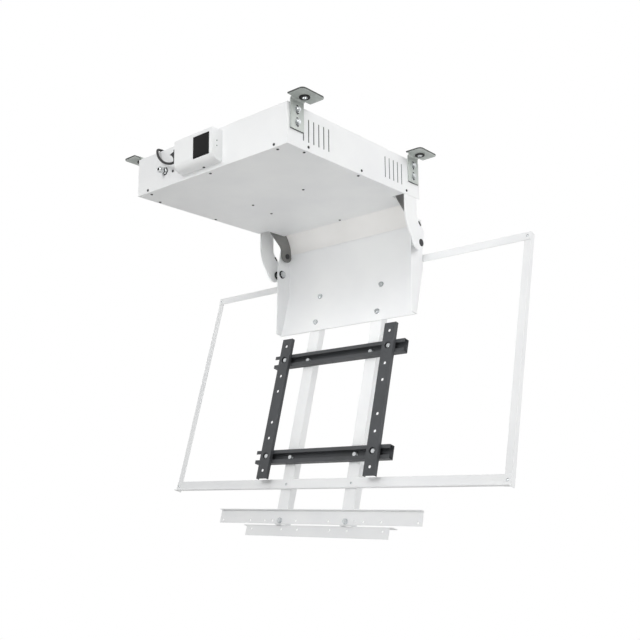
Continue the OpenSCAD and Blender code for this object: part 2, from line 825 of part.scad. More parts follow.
// L-shaped bracket round the middle y: ceiling plate, bend and slotted leg
module bracket(y) {
  bend_x = side_x + bracket_t + bend_r;
  bend_low = -bracket_t - bend_r;
  corner_x = side_x + plate_w - plate_corner_r;
  color("dimgray") difference() {
    union() {
      xz_bar(y - leg_w / 2, leg_w) polygon(concat([[side_x, -leg_h]],
        arc(bend_x, bend_low, bend_r + bracket_t, 180, 90), [[bend_x + bend_r, 0],
        [bend_x + bend_r, -bracket_t]], arc(bend_x, bend_low, bend_r, 90, 180),
        [[side_x + bracket_t, -leg_h]]));
      translate([0, y, -bracket_t]) linear_extrude(bracket_t) {
        translate([bend_x, -plate_l / 2]) square([corner_x - bend_x, plate_l]);
        translate([bend_x, plate_corner_r - plate_l / 2])
          square([side_x + plate_w - bend_x, plate_l - 2 * plate_corner_r]);
        for (s = [-1, 1]) translate([corner_x, s * (plate_l / 2 - plate_corner_r)])
          circle(r = plate_corner_r);
      }
    }
    translate([side_x + hole_out, y, -bracket_t - cut])
      cylinder(d = bush_neck + 2 * run_gap, h = bracket_t + 2 * cut);
    for (z = [upper_bolt_z, lower_bolt_z]) translate([side_x - cut, y, -z])
      slot_x(leg_slot_w, leg_slot_l, bracket_t + 2 * cut);
  }
}
module bracket_front_left() { mirror([1, 0, 0]) bracket(-bracket_spacing / 2); }
module bracket_front_right() { bracket(-bracket_spacing / 2); }
module bracket_rear_left() { mirror([1, 0, 0]) bracket(bracket_spacing / 2); }
module bracket_rear_right() { bracket(bracket_spacing / 2); }

// Hex bolts that clamp the legs to the housing
module bracket_bolts() {
  color("silver") both_sides() for (s = [-1, 1]) for (z = [upper_bolt_z, lower_bolt_z])
    translate([side_x + bracket_t, s * bracket_spacing / 2, -z]) rotate([0, -90, 0])
      hex_bolt(bracket_t + sheet_t + arm_t + nut_h + pin_end);
}

// Their nuts, on rail and backing plate in front and on the arm behind
module bracket_nuts() {
  color("darkgray") both_sides() for (s = [-1, 1]) for (z = [upper_bolt_z, lower_bolt_z])
    translate([s < 0 ? inner_x - rail_steel : arm_x, s * bracket_spacing / 2, -z]) rotate([0, -90, 0])
      flange_nut();
}

// Rubber bushes in the ceiling holes
module ceiling_bushes() {
  color("black") both_sides() for (s = [-1, 1])
    translate([side_x + hole_out, s * bracket_spacing / 2, -bracket_t - bush_flange_t]) difference() {
      union() {
        cylinder(d = bush_neck, h = bracket_t + bush_flange_t);
        cylinder(d = bush_flange, h = bush_flange_t);
      }
      translate([0, 0, -cut]) cylinder(d = bush_bore, h = bracket_t + bush_flange_t + 2 * cut);
    }
}

// Angle rails along the top of the side walls
module side_rails() {
  color("lightgray") both_sides() difference() {
    xz_bar(front_y + sheet_t, arm_front - rail_end_gap - front_y - sheet_t)
      polygon([[inner_x, rail_z], [inner_x, rail_z - rail_leg], [beam_x, rail_z - rail_leg],
          [beam_x, beam_z], [inner_x - rail_w, beam_z], [inner_x - rail_w, rail_z]]);
    bracket_holes(beam_x, rail_steel, [-1], [upper_bolt_z]);
    for (y = rail_screw_ys) screw_hole([rail_screw_x, y], beam_z, rail_steel);
  }
}

// Plates behind the lower bolts of the front brackets
module backing_plates() {
  color("lightgray") both_sides() difference() {
    block(beam_x, -(bracket_spacing + backing_w) / 2, -lower_bolt_z - backing_h / 2, rail_steel, backing_w,
      backing_h);
    bracket_holes(beam_x, rail_steel, [-1], [lower_bolt_z]);
  }
}

// Channel, open downwards, that carries the drive
module rear_cross_beam() {
  color("lightgray") difference() {
    block(-beam_x, beam_y, beam_z - beam_h, 2 * beam_x, beam_w, beam_h);
    block(-beam_x - cut, beam_y + beam_t, beam_z - beam_h - cut, 2 * (beam_x + cut), beam_w - 2 * beam_t,
      beam_h - beam_t + cut);
    both_sides() {
      for (y = rail_screw_ys) screw_hole([rail_screw_x, y], beam_z - beam_t, beam_t);
      for (y = plate_screw_ys) screw_hole([plate_screw_x, y], beam_z - beam_t, beam_t);
      screw_hole(case_screw, beam_z - beam_t, beam_t);
    }
  }
}

// Channel, open upwards, with a tab that rests on each side lip
module middle_cross_beam() {
  y0 = mid_beam_y - mid_beam_w / 2;
  y1 = mid_beam_y + mid_beam_w / 2;
  color("lightgray") difference() {
    union() {
      yz_plate(-mid_beam_x, 2 * mid_beam_x) polygon([[y0, floor_z], [y1, floor_z],
        [y1, floor_z + mid_beam_h], [y1 - mid_beam_t, floor_z + mid_beam_h],
        [y1 - mid_beam_t, floor_z + mid_beam_t], [y0 + mid_beam_t, floor_z + mid_beam_t],
        [y0 + mid_beam_t, floor_z + mid_beam_h], [y0, floor_z + mid_beam_h]]);
      both_sides() block(mid_beam_x - tab_over, y0, floor_z + sheet_t,
        inner_x - tab_end_gap - mid_beam_x + tab_over, mid_beam_w, mid_beam_t);
    }
    for (p = beam_screws) screw_hole(p, floor_z, mid_beam_t);
  }
}

// Fixed outer arm with its foot, hinge hole and slanted slot
module arm() {
  color("whitesmoke") difference() {
    yz_plate(arm_x, arm_t) polygon(concat([[arm_front, top_z - arm_top_gap]],
      arc(arm_front + arm_sweep_r, under_z - arm_sweep_drop, arm_sweep_r, 180, 220, 10),
      arc(foot_y, foot_z, arm_foot_r, 215, 360, 20),
      arc(foot_y + arm_foot_r - bulge_r, bulge_z, bulge_r, 0, 45, 6),
      arc(arm_rear + fillet_r, fillet_z, fillet_r, 225, 180, 6),
      [[arm_rear, top_z - arm_top_gap]]));
    bar_x(arm_x - cut, hinge_y, hinge_z, hinge_bush_d / 2 + run_gap, arm_t + 2 * cut);
    translate([arm_x - cut, adjust_slot_y, adjust_slot_z]) rotate([adjust_slot_lean - 90, 0, 0])
      slot_x(adjust_slot_w, adjust_slot_l, arm_t + 2 * cut);
    bracket_holes(arm_x, arm_t, [1], [upper_bolt_z, lower_bolt_z]);
    bar_x(arm_x - cut, arm_screw_y, wall_screw_z, screw_d / 2 + hole_gap, arm_t + 2 * cut);
  }
}
module arm_left() { mirror([1, 0, 0]) arm(); }
module arm_right() { arm(); }

// Black bushes in the arms, blind on the outside
module hinge_bushes() {
  color("black") both_sides() difference() {
    union() {
      bar_x(arm_x, hinge_y, hinge_z, hinge_bush_d / 2, arm_t);
      bar_x(arm_x - hinge_bush_flange_t, hinge_y, hinge_z, hinge_bush_flange_r, hinge_bush_flange_t);
    }
    bar_x(arm_x - hinge_bush_flange_t - cut, hinge_y, hinge_z, pin_d / 2 + run_gap,
      hinge_blind_x - arm_x + hinge_bush_flange_t + cut);
  }
}

// Plates with a foot under the rear beam that carry the shaft's bearings
module bearing_plates() {
  color("lightgray") both_sides() difference() {
    union() {
      yz_plate(bearing_x, bearing_plate_t) polygon(concat([[plate_y0, beam_z - beam_t],
        [plate_y1, beam_z - beam_t], [plate_y1, beam_z - beam_h - beam_edge]],
        arc(shaft_y, shaft_z, bearing_lobe_r, 0, -180, 16), [[plate_y0, shaft_z + shoulder_rise]]));
      block(bearing_x - plate_foot_w, plate_y0, beam_z - beam_t - plate_foot_t, plate_foot_w,
        plate_y1 - plate_y0, plate_foot_t);
    }
    bar_x(bearing_x - cut, shaft_y, shaft_z, bearing_hub_r + run_gap, bearing_plate_t + 2 * cut);
    for (y = plate_screw_ys) screw_hole([plate_screw_x, y], beam_z - beam_t - plate_foot_t, plate_foot_t);
  }
}

// Flanged bearings of the drive shaft
module shaft_bearings() {
  color("darkkhaki") both_sides() difference() {
    union() {
      bar_x(bearing_x, shaft_y, shaft_z, bearing_hub_r, bearing_plate_t);
      bar_x(bearing_x + bearing_plate_t, shaft_y, shaft_z, bearing_flange_r, bearing_flange_t);
    }
    bar_x(bearing_x - cut, shaft_y, shaft_z, shaft_d / 2 + run_gap,
      bearing_plate_t + bearing_flange_t + 2 * cut);
  }
}

// Lugs for the lid's screws
module lid_lugs(x, r, l) {
  for (a = lug_angles) bar_x(x, shaft_y + lug_out * cos(a), shaft_z + lug_out * sin(a), r, l);
}

// Case: a round room for the worm wheel, a long one above it for the worm, and a foot under the beam
module gearbox_case() {
  x0 = -wheel_room_l / 2 - end_wall;
  color("slategray") difference() {
    union() {
      bar_x(x0, shaft_y, shaft_z, case_r, wheel_room_l + end_wall);
      block(-head_w / 2, motor_y, worm_z - head_w / 2, head_w, head_l, head_w);
      block(-case_foot_w / 2, case_foot_y, worm_z, case_foot_w, case_foot_l, beam_z - beam_t - worm_z);
      lid_lugs(x0, lug_r, wheel_room_l + end_wall);
    }
    bar_x(x0 + end_wall, shaft_y, shaft_z, wheel_room_r, wheel_room_l + cut);
    bar_x(x0 - cut, shaft_y, shaft_z, shaft_d / 2 + run_gap, end_wall + 2 * cut);
    bar_y(0, worm_y - worm_l / 2 - shoulder_l, worm_z, worm_room_r, worm_l + 2 * shoulder_l);
    bar_y(0, motor_y - cut, worm_z, journal_d / 2 + run_gap, head_l - head_end_wall + cut);
    lid_lugs(x0 - cut, screw_d / 2 + hole_gap, wheel_room_l + end_wall + 2 * cut);
    both_sides() screw_hole(case_screw, beam_z - beam_t - screw_l, screw_l);
  }
}

// Lid of the wheel's room
module gearbox_lid() {
  x0 = wheel_room_l / 2;
  color("slategray") difference() {
    union() {
      bar_x(x0, shaft_y, shaft_z, case_r, end_wall);
      lid_lugs(x0, lug_r, end_wall);
    }
    bar_x(x0 - cut, shaft_y, shaft_z, shaft_d / 2 + run_gap, end_wall + 2 * cut);
    lid_lugs(x0 - cut, screw_d / 2 + hole_gap, end_wall + 2 * cut);
  }
}

// Screws of rails, bearing plates, gearbox foot and lid
module drive_screws() {
  color("silver") {
    both_sides() {
      for (y = rail_screw_ys) translate([rail_screw_x, y, rail_z]) rotate([180, 0, 0]) sheet_screw();
      for (y = plate_screw_ys) translate([plate_screw_x, y, beam_z]) rotate([180, 0, 0])
        sheet_screw(beam_t + plate_foot_t);
      translate([case_screw[0], case_screw[1], beam_z]) rotate([180, 0, 0])
        sheet_screw(beam_t + plate_foot_t);
    }
    for (a = lug_angles) translate([wheel_room_l / 2 + end_wall, shaft_y + lug_out * cos(a),
      shaft_z + lug_out * sin(a)]) rotate([0, -90, 0]) sheet_screw();
  }
}

// Motor can with its magnets, open at the end cap
module motor_can() {
  magnet_l = rotor_l + 2 * magnet_over;
  color("dimgray") difference() {
    bar_y(0, motor_y - motor_l, worm_z, motor_d / 2, motor_l);
    bar_y(0, motor_y - motor_l - cut, worm_z, motor_d / 2 - motor_wall, (motor_l - magnet_l) / 2 + cut);
    bar_y(0, motor_y - motor_l, worm_z, rotor_r + rotor_gap, motor_l - motor_face_t);
    bar_y(0, motor_mid_y + magnet_l / 2, worm_z, motor_d / 2 - motor_wall,
      (motor_l - magnet_l) / 2 - motor_face_t);
    bar_y(0, motor_y - motor_face_t - cut, worm_z, journal_d / 2 + run_gap, motor_face_t + 2 * cut);
  }
}

// End cap with the rotor's rear bearing
module motor_end_cap() {
  y0 = motor_y - motor_l - end_cap_t;
  color("black") difference() {
    union() {
      bar_y(0, y0, worm_z, motor_d / 2, end_cap_t);
      bar_y(0, y0, worm_z, motor_d / 2 - motor_wall - run_gap, end_cap_t + spigot_l);
    }
    bar_y(0, y0 + pin_end, worm_z, journal_d / 2 + run_gap, end_cap_t + spigot_l);
  }
}

// Switched supply with its terminal step
module power_supply() {
  color("silver") difference() {
    union() {
      block(supply_x, supply_y, floor_z, supply_l - terminal_l, supply_w, supply_h);
      block(supply_x, supply_y, floor_z, supply_l, supply_w, terminal_h);
    }
    screw_hole(supply_screw, floor_z, screw_l);
  }
}

// A socket on the control board, from its corner
module socket(x, y, dx, dy) {
  block(x, y, board_z, dx, dy, board_t + socket_h);
}

// Control board with its sockets and larger parts
module control_board() {
  board_end = board_y + board_w;
  color("darkgreen") {
    block(board_x, board_y, board_z, board_l, board_w, board_t);
    socket(board_x, board_y + 12.5, socket_l, socket_w);
    for (x = [motor_socket_x, supply_socket_x]) socket(x, board_end - socket_l, socket_w, socket_l);
    socket(receiver_socket_x, board_y + 4, socket_w, socket_l);
    for (i = [0 : 1]) translate([board_x + 28 + 22 * i, board_y + 62, board_z]) cylinder(r = 8, h = 24);
    for (i = [0 : 1]) socket(board_x + 40 + 24 * i, board_y + 20, 18, 18);
  }
}

// Posts of both boards, and the block that the front cover's screw goes into
module board_posts() {
  color("silver") {
    for (x = [post_in, board_l - post_in]) for (y = [post_in, board_w - post_in])
      translate([board_x + x, board_y + y, floor_z]) cylinder(r = post_r, h = board_z - floor_z);
    for (x = [receiver_post_in, receiver_w - receiver_post_in]) for (s = [-1, 1])
      bar_y(receiver_x + x, front_y - receiver_back + board_t,
         window_z + s * (receiver_h / 2 - receiver_post_in), receiver_post_r,
         receiver_back - board_t);
    difference() {
      block(cover_screw_x - block_w / 2, front_y - block_d, cover_low_z + front_cover_t, block_w, block_d,
        block_h);
      screw_hole([cover_screw_x, front_y - block_d / 2], cover_low_z + front_cover_t, block_h);
    }
  }
}

// Receiver board with its eye behind the window
module receiver_board() {
  y0 = front_y - receiver_back;
  color("darkgreen") {
    block(receiver_x, y0, window_z - receiver_h / 2, receiver_w, board_t, receiver_h);
    bar_y(window_x, y0 - eye_l, window_z, eye_r, eye_l);
  }
}

// Side outline of the front cover, drawn in by an inset
function cover_outline(inset) = let (y1 = front_y + (inset > 0 ? cut : 0)) concat(
  [[y1, cover_low_z + inset]],
  arc(cover_front_y + front_cover_r, cover_low_z + front_cover_r, front_cover_r - inset, 270, 180, 12),
  [[cover_front_y + inset, cover_top_z - inset], [y1, cover_top_z - inset]]);

// The window's block, grown by a gap
module window_block(gap) {
  block(window_x - window_w / 2 - gap, cover_front_y - cut, window_z - window_h / 2 - gap,
    window_w + 2 * gap, window_depth, window_h + 2 * gap);
}

// Front cover: a box with closed ends and a rounded lower edge, open to the wall
module front_cover() {
  l = front_cover_left + front_cover_right;
  color("whitesmoke") difference() {
    yz_plate(-front_cover_left, l) polygon(cover_outline(0));
    yz_plate(front_cover_t - front_cover_left, l - 2 * front_cover_t) polygon(cover_outline(front_cover_t));
    window_block(window_gap);
    for (z = light_zs) bar_x(front_cover_right - front_cover_t - cut, light_y, z, light_d / 2 + light_gap,
      front_cover_t + 2 * cut);
    bar_x(-front_cover_left - cut, connector_y, connector_z, boss_r, front_cover_t + 2 * cut);
    screw_hole([cover_screw_x, front_y - block_d / 2], cover_low_z, front_cover_t);
  }
}

// Dark pane that follows the cover's front
module receiver_window() {
  color("black") intersection() {
    window_block(0);
    difference() {
      yz_plate(-front_cover_left, front_cover_left + front_cover_right) polygon(cover_outline(0));
      yz_plate(-front_cover_left - cut, front_cover_left + front_cover_right + 2 * cut)
        polygon(cover_outline(front_cover_t));
    }
  }
}

// Two small lights in the cover's right end
module status_lights() {
  color("lime") for (z = light_zs) bar_x(front_cover_right - front_cover_t, light_y, z, light_d / 2,
    front_cover_t + light_stand);
}

// Plated cable gland with its lock nut inside the wall
module cable_gland() {
  color("silver") translate([-gland_x, front_y, under_z + gland_rise]) rotate([90, 0, 0]) difference() {
    union() {
      cylinder(r = gland_hex_r, h = gland_hex_t, $fn = 6);
      cylinder(r = gland_thread_r, h = gland_hex_t + gland_neck_l);
      translate([0, 0, gland_hex_t + gland_neck_l]) {
        cylinder(r = gland_cap_r, h = gland_cap_l);
        translate([0, 0, gland_cap_l]) cylinder(r1 = gland_cap_r, r2 = gland_tip_r, h = gland_tip_l);
      }
      translate([0, 0, -sheet_t - gland_nut_t - cut])
        cylinder(r = gland_thread_r, h = sheet_t + gland_nut_t + cut);
      translate([0, 0, -sheet_t - gland_nut_t]) cylinder(r = gland_hex_r, h = gland_nut_t, $fn = 6);
    }
    translate([0, 0, -sheet_t - gland_nut_t - 2 * cut])
      cylinder(r = gland_bore_r, h = sheet_t + gland_nut_t + gland_hex_t + gland_neck_l + gland_cap_l
          + gland_tip_l + 3 * cut);
  }
}

// Connector on the cover's left end, with the boss that the lead leaves
module lead_connector() {
  x0 = -front_cover_left - connector_t;
  color("black") {
    block(x0, connector_y - connector_w / 2, connector_z - connector_h / 2, connector_t, connector_w,
      connector_h);
    bar_x(x0 - boss_l, connector_y, boss_z, boss_r, boss_l);
  }
}

// Lead from the connector, over the front wall, to the control board
module sensor_lead() {
  color("black") lead(sensor_route, sensor_lead_r);
}

// Leads of motor, supply and receiver to the control board
module inner_leads() {
  color("black") {
    lead(motor_route, motor_lead_r);
    lead(supply_route, motor_lead_r);
    lead(receiver_route, receiver_lead_r);
  }
}

// End-position sensors on the right bearing plate
module end_sensors() {
  x0 = bearing_x + bearing_plate_t;
  color("darkred") {
    block(x0, plate_y1 - sensor_w, beam_z - beam_h - beam_edge - sensor_w, sensor_t, sensor_w, sensor_w);
    block(x0, plate_y1 - sensor_w, beam_z - beam_h - beam_edge - 2.5 * sensor_w, sensor_t, sensor_w,
      sensor_w);
  }
}

// Tubular drive shaft
module drive_shaft() {
  half = crank_x + crank_t + shaft_end;
  color("silver") ring_x(-half, shaft_y, shaft_z, shaft_d / 2, shaft_bore / 2, 2 * half);
}

// Cranks with their pins, and a retaining ring on each pin
module cranks() {
  lean = acos((crank_hub_r - crank_end_r) / crank_l);
  sides = [crank_angle - lean, crank_angle + lean];
  web_hub_r = crank_hub_r - crank_web_in;
  web_end_r = crank_end_r - crank_web_in;
  bush_x0 = link_x - bush_stand - turn_gap;
  bush_x1 = link_x + link_t + bush_stand + turn_gap;
  color("dimgray") both_sides() {
    difference() {
      union() {
        bar_x(crank_x, shaft_y, shaft_z, crank_hub_r, crank_t);
        bar_x(crank_x, high_pin_y, high_pin_z, crank_end_r, crank_t);
        yz_plate(crank_x, crank_t) polygon([
          for (a = sides) [shaft_y + web_hub_r * cos(a), shaft_z + web_hub_r * sin(a)],
          for (a = [sides[1], sides[0]])
            [high_pin_y + web_end_r * cos(a), high_pin_z + web_end_r * sin(a)]]);
        bar_x(crank_x, high_pin_y, high_pin_z, spacer_r, bush_x0 - crank_x);
        bar_x(crank_x, high_pin_y, high_pin_z, pin_d / 2, bush_x1 + ring_t + pin_end - crank_x);
      }
      bar_x(crank_x - cut, shaft_y, shaft_z, shaft_d / 2 + run_gap, crank_t + 2 * cut);
    }
    ring_x(bush_x1, high_pin_y, high_pin_z, spacer_r, pin_d / 2 + run_gap, ring_t);
  }
}

// Collars between bearings and cranks
module shaft_collars() {
  x0 = bearing_x + bearing_plate_t + bearing_flange_t + turn_gap;
  color("silver") both_sides() ring_x(x0, shaft_y, shaft_z, bearing_hub_r, shaft_d / 2 + run_gap, crank_x - x0);
}

// Worm wheel with its hub and slanted teeth
module worm_wheel() {
  color("goldenrod") difference() {
    union() {
      bar_x(-gear_w / 2, shaft_y, shaft_z, wheel_root_r, gear_w);
      bar_x(-wheel_hub_l / 2, shaft_y, shaft_z, wheel_hub_r, wheel_hub_l);
      for (i = [0 : gear_teeth - 1]) translate([0, shaft_y, shaft_z]) rotate([i * 360 / gear_teeth, 0, 0])
        rotate([0, 0, -worm_lead]) yz_plate(-gear_w / 2, gear_w)
          polygon([[-tooth_root_w / 2, wheel_root_r - tooth_sink],
            [tooth_root_w / 2, wheel_root_r - tooth_sink],
            [tooth_tip_w / 2, wheel_tip_r], [-tooth_tip_w / 2, wheel_tip_r]]);
    }
    bar_x(-wheel_hub_l / 2 - cut, shaft_y, shaft_z, shaft_d / 2 + run_gap, wheel_hub_l + 2 * cut);
  }
}

// Worm: a twisted right-hand thread whose gap faces the wheel's middle tooth, shoulders and journals
module worm() {
  start = 90 - 180 * (worm_turns + 1);
  thread = [for (k = [0 : 6]) let (a = start + thread_tip_angle * (k / 3 - 1))
    worm_tip_r * [cos(a), sin(a)],
    for (k = [0 : 8]) let (a = start + thread_root_angle + (360 - 2 * thread_root_angle) * k / 8)
    worm_root_r * [cos(a), sin(a)]];
  end_l = (head_l - worm_l) / 2;
  color("silver") translate([0, worm_y - worm_l / 2, worm_z]) rotate([-90, 0, 0]) {
    linear_extrude(worm_l, twist = -360 * worm_turns, slices = 12 * worm_turns, segments = 0) polygon(thread);
    translate([0, 0, -end_l]) cylinder(d = journal_d, h = end_l);
    translate([0, 0, turn_gap - shoulder_l]) cylinder(r = shoulder_r, h = shoulder_l - turn_gap);
    translate([0, 0, worm_l]) cylinder(d = journal_d, h = end_l - head_end_wall - turn_gap);
    translate([0, 0, worm_l]) cylinder(r = shoulder_r, h = shoulder_l - turn_gap);
  }
}

// Rotor on its shaft, which drives the worm
module motor_rotor() {
  y0 = motor_y - motor_l - end_cap_t + pin_end + turn_gap;
  color("peru") {
    bar_y(0, y0, worm_z, journal_d / 2, motor_y - y0);
    bar_y(0, motor_mid_y - rotor_l / 2, worm_z, rotor_r, rotor_l);
  }
}

// Link plate with its bush holes
module link_plate() {
  panel_start = asin((low_pin_z - panel_z) / panel_r);
  color("gray") difference() {
    yz_plate(link_x, link_t) polygon(concat(
      arc(high_pin_y, high_pin_z, link_head_r, head_angle, 180, 12),
      [[high_pin_y - link_head_r, elbow_z + elbow_rise], [elbow_y, elbow_z], [knee_y, knee_z],
       [heel_y - link_foot_r, low_pin_z + heel_rise]],
      arc(heel_y, low_pin_z, link_foot_r, 180, 270, 8),
      arc(low_pin_y, low_pin_z, link_foot_r, 270, 360, 8),
      arc(panel_y, panel_z, panel_r, panel_start, panel_sweep, 12)));
    bar_x(link_x - cut, high_pin_y, high_pin_z, high_bush_bore + bush_wall + run_gap, link_t + 2 * cut);
    bar_x(link_x - cut, low_pin_y, low_pin_z, low_bush_bore + bush_wall + run_gap, link_t + 2 * cut);
  }
}
module link_left() { mirror([1, 0, 0]) link_plate(); }
module link_right() { link_plate(); }

// Curved panel between the links
module link_panel() {
  color("lightgray") intersection() {
    ring_x(-link_x, panel_y, panel_z, panel_r, panel_r - panel_t, 2 * link_x);
    yz_plate(-link_x, 2 * link_x) polygon([[panel_y, panel_z], [panel_y + 2 * panel_r, panel_z],
      [panel_y + 2 * panel_r * cos(panel_sweep), panel_z + 2 * panel_r * sin(panel_sweep)]]);
  }
}

// Bushes in the links: a close fit above, and free play below
module link_bushes() {
  l = link_t + 2 * bush_stand;
  color("black") both_sides() {
    ring_x(link_x - bush_stand, high_pin_y, high_pin_z, high_bush_bore + bush_wall, high_bush_bore, l);
    ring_x(link_x - bush_stand, low_pin_y, low_pin_z, low_bush_bore + bush_wall, low_bush_bore, l);
  }
}

// Neck: a wide channel, flanges to the front, bent forward at its lower end
module neck() {
  inner_bend = neck_t * tan(carrier_lean / 2);
  color("whitesmoke") difference() {
    union() {
      yz_plate(-neck_x, 2 * neck_x) polygon([[bend_y, neck_top_z], [bend_y - neck_t, neck_top_z],
        [bend_y - neck_t, bend_z + inner_bend], leaned(-neck_t, -neck_tail), leaned(0, -neck_tail),
        [bend_y, bend_z]]);
      both_sides() yz_plate(neck_x - neck_t, neck_t) polygon([[bend_y, neck_top_z],
        [ear_y, neck_top_z], [waist_y, hinge_z + waist_rise],
        [bend_y - neck_flange, hinge_z + waist_rise - shoulder_gap], [bend_y - neck_flange, bend_z],
        leaned(-neck_tail_flange, -neck_tail), leaned(0, -neck_tail), [bend_y, bend_z]]);
    }
    both_sides() {
      bar_x(neck_x - neck_t - cut, hinge_y, hinge_z, pin_d / 2 + hole_gap, neck_t + 2 * cut);
      bar_x(neck_x - neck_t - cut, low_pin_y, low_pin_z, pin_d / 2 + hole_gap, neck_t + 2 * cut);
      on_carrier() for (d = neck_bolts) hole_y(upright_x, -neck_t, -d, bolt_d + 2 * hole_gap, neck_t);
    }
  }
}

// Main hinge bolts, their heads inside the neck and their ends in the arms' bushes
module hinge_bolts() {
  x0 = neck_x - neck_t;
  color("silver") both_sides() {
    hex_x(x0 - hinge_head_t, hinge_y, hinge_z, pin_head_af, hinge_head_t);
    bar_x(x0, hinge_y, hinge_z, pin_d / 2, hinge_blind_x - turn_gap - x0);
  }
}

// Spacers on the hinge bolts between neck and arms
module hinge_spacers() {
  color("silver") both_sides() ring_x(neck_x, hinge_y, hinge_z, spacer_r, pin_d / 2 + run_gap,
    arm_x - hinge_bush_flange_t - turn_gap - neck_x);
}

// Lower link pins with their spacers and retaining rings
module link_pins() {
  bush_x0 = link_x - bush_stand - turn_gap;
  bush_x1 = link_x + link_t + bush_stand + turn_gap;
  pin_x = bush_x0 - ring_t - shaft_end / 2;
  bore_r = pin_d / 2 + run_gap;
  color("silver") both_sides() {
    hex_x(neck_x, low_pin_y, low_pin_z, pin_head_af, pin_head_t);
    bar_x(pin_x, low_pin_y, low_pin_z, pin_d / 2, neck_x - pin_x);
    ring_x(bush_x1, low_pin_y, low_pin_z, spacer_r, bore_r, neck_x - neck_t - bush_x1);
    ring_x(bush_x0 - ring_t, low_pin_y, low_pin_z, spacer_r, bore_r, ring_t);
  }
}

// Top rail: an angle with small screws along its upper edge
module top_rail() {
  color("whitesmoke") on_carrier() difference() {
    union() {
      block(-strip_x, -rail_t, top_rail_rise - top_rail_h, top_rail_l, rail_t, top_rail_h);
      block(-strip_x, -rail_t, carrier_top, top_rail_l, rail_flange, rail_t);
    }
    both_sides() {
      for (x = [upright_x, strip_mid]) hole_y(x, -rail_t, rail_screw_z, screw_d + 2 * hole_gap, rail_t);
      for (x = top_screws) screw_hole([x, top_screw_y], carrier_top, rail_t);
    }
  }
}

// Side strips: angles that hang from the top rail's ends
module side_strips() {
  l = strip_drop + carrier_top;
  color("whitesmoke") on_carrier() both_sides() difference() {
    union() {
      block(strip_x - strip_w, 0, -strip_drop, strip_w, rail_t, l);
      block(strip_x - rail_t, 0, -strip_drop, rail_t, rail_flange - rail_t, l);
    }
    for (z = [rail_screw_z, frame_screw_z]) hole_y(strip_mid, 0, z, screw_d + 2 * hole_gap, rail_t);
  }
}

// Uprights: channels, open to the rear, that carry everything below the neck
module uprights() {
  l = upright_drop + carrier_top;
  rail_bolt_zs = [lower_hole_z, cross_rail_out - load_drop, -cross_rail_out - load_drop];
  color("whitesmoke") on_carrier() both_sides() difference() {
    block(upright_x - upright_w / 2, 0, -upright_drop, upright_w, upright_d, l);
    block(upright_x - upright_w / 2 + rail_t, rail_t, -upright_drop - cut, upright_w - 2 * rail_t, upright_d,
      l + 2 * cut);
    for (d = neck_bolts) hole_y(upright_x, 0, -d, bolt_d + 2 * hole_gap, rail_t);
    for (z = rail_bolt_zs) hole_y(upright_x, 0, z, bolt_d + 2 * hole_gap, rail_t);
    for (z = [rail_screw_z, frame_screw_z]) hole_y(upright_x, 0, z, screw_d + 2 * hole_gap, rail_t);
  }
}

// Frame rail between the side strips' lower ends
module frame_rail() {
  color("whitesmoke") on_carrier() difference() {
    union() {
      block(-strip_x, -rail_t, -strip_drop, top_rail_l, rail_t, frame_rail_h);
      block(-strip_x, -rail_lip, -strip_drop, top_rail_l, rail_lip, rail_t);
    }
    both_sides() for (x = [upright_x, strip_mid])
      hole_y(x, -rail_t, frame_screw_z, screw_d + 2 * hole_gap, rail_t);
  }
}

// Lower rail with its row of holes
module lower_rail() {
  half = lower_rail_l / 2;
  color("whitesmoke") on_carrier() difference() {
    union() {
      block(-half, -rail_t, -lower_rail_drop, lower_rail_l, rail_t, lower_rail_h);
      block(-half, -rail_lip, lower_rail_h - lower_rail_drop - rail_t, lower_rail_l, rail_lip, rail_t);
    }
    both_sides() {
      hole_y(upright_x, -rail_t, lower_hole_z, bolt_d + 2 * hole_gap, rail_t);
      for (x = lower_holes) hole_y(x, -rail_t, lower_hole_z, lower_hole_d, rail_t);
    }
  }
}

// Bottom ledge: an angle under the uprights' ends
module bottom_ledge() {
  half = ledge_l / 2;
  color("whitesmoke") on_carrier() difference() {
    union() {
      block(-half - ledge_over, ledge_back, -upright_drop - rail_t, ledge_l + 2 * ledge_over, rail_flange,
        rail_t);
      block(-half, ledge_back, -upright_drop - ledge_h, ledge_l, rail_t, ledge_h);
    }
    both_sides() for (x = ledge_holes)
      hole_y(x, ledge_back, -upright_drop - ledge_hole_drop, lower_hole_d, rail_t);
  }
}

// Cross rails: lipped channels, open to the front, on the uprights
module cross_rails() {
  h = cross_rail_h / 2;
  d = cross_rail_d;
  half = [[0, h], [-d, h], [-d, h - strut_lip], [rail_t - d, h - strut_lip], [rail_t - d, h - rail_t],
    [-rail_t, h - rail_t]];
  color("dimgray") on_carrier() for (s = [-1, 1]) translate([0, 0, s * cross_rail_out - load_drop])
    difference() {
      yz_plate(-cross_rail_l / 2, cross_rail_l) polygon(concat(half,
        [for (i = [len(half) - 1 : -1 : 0]) [half[i][0], -half[i][1]]]));
      both_sides() hole_y(upright_x, -rail_t, 0, bolt_d + 2 * hole_gap, rail_t);
    }
}

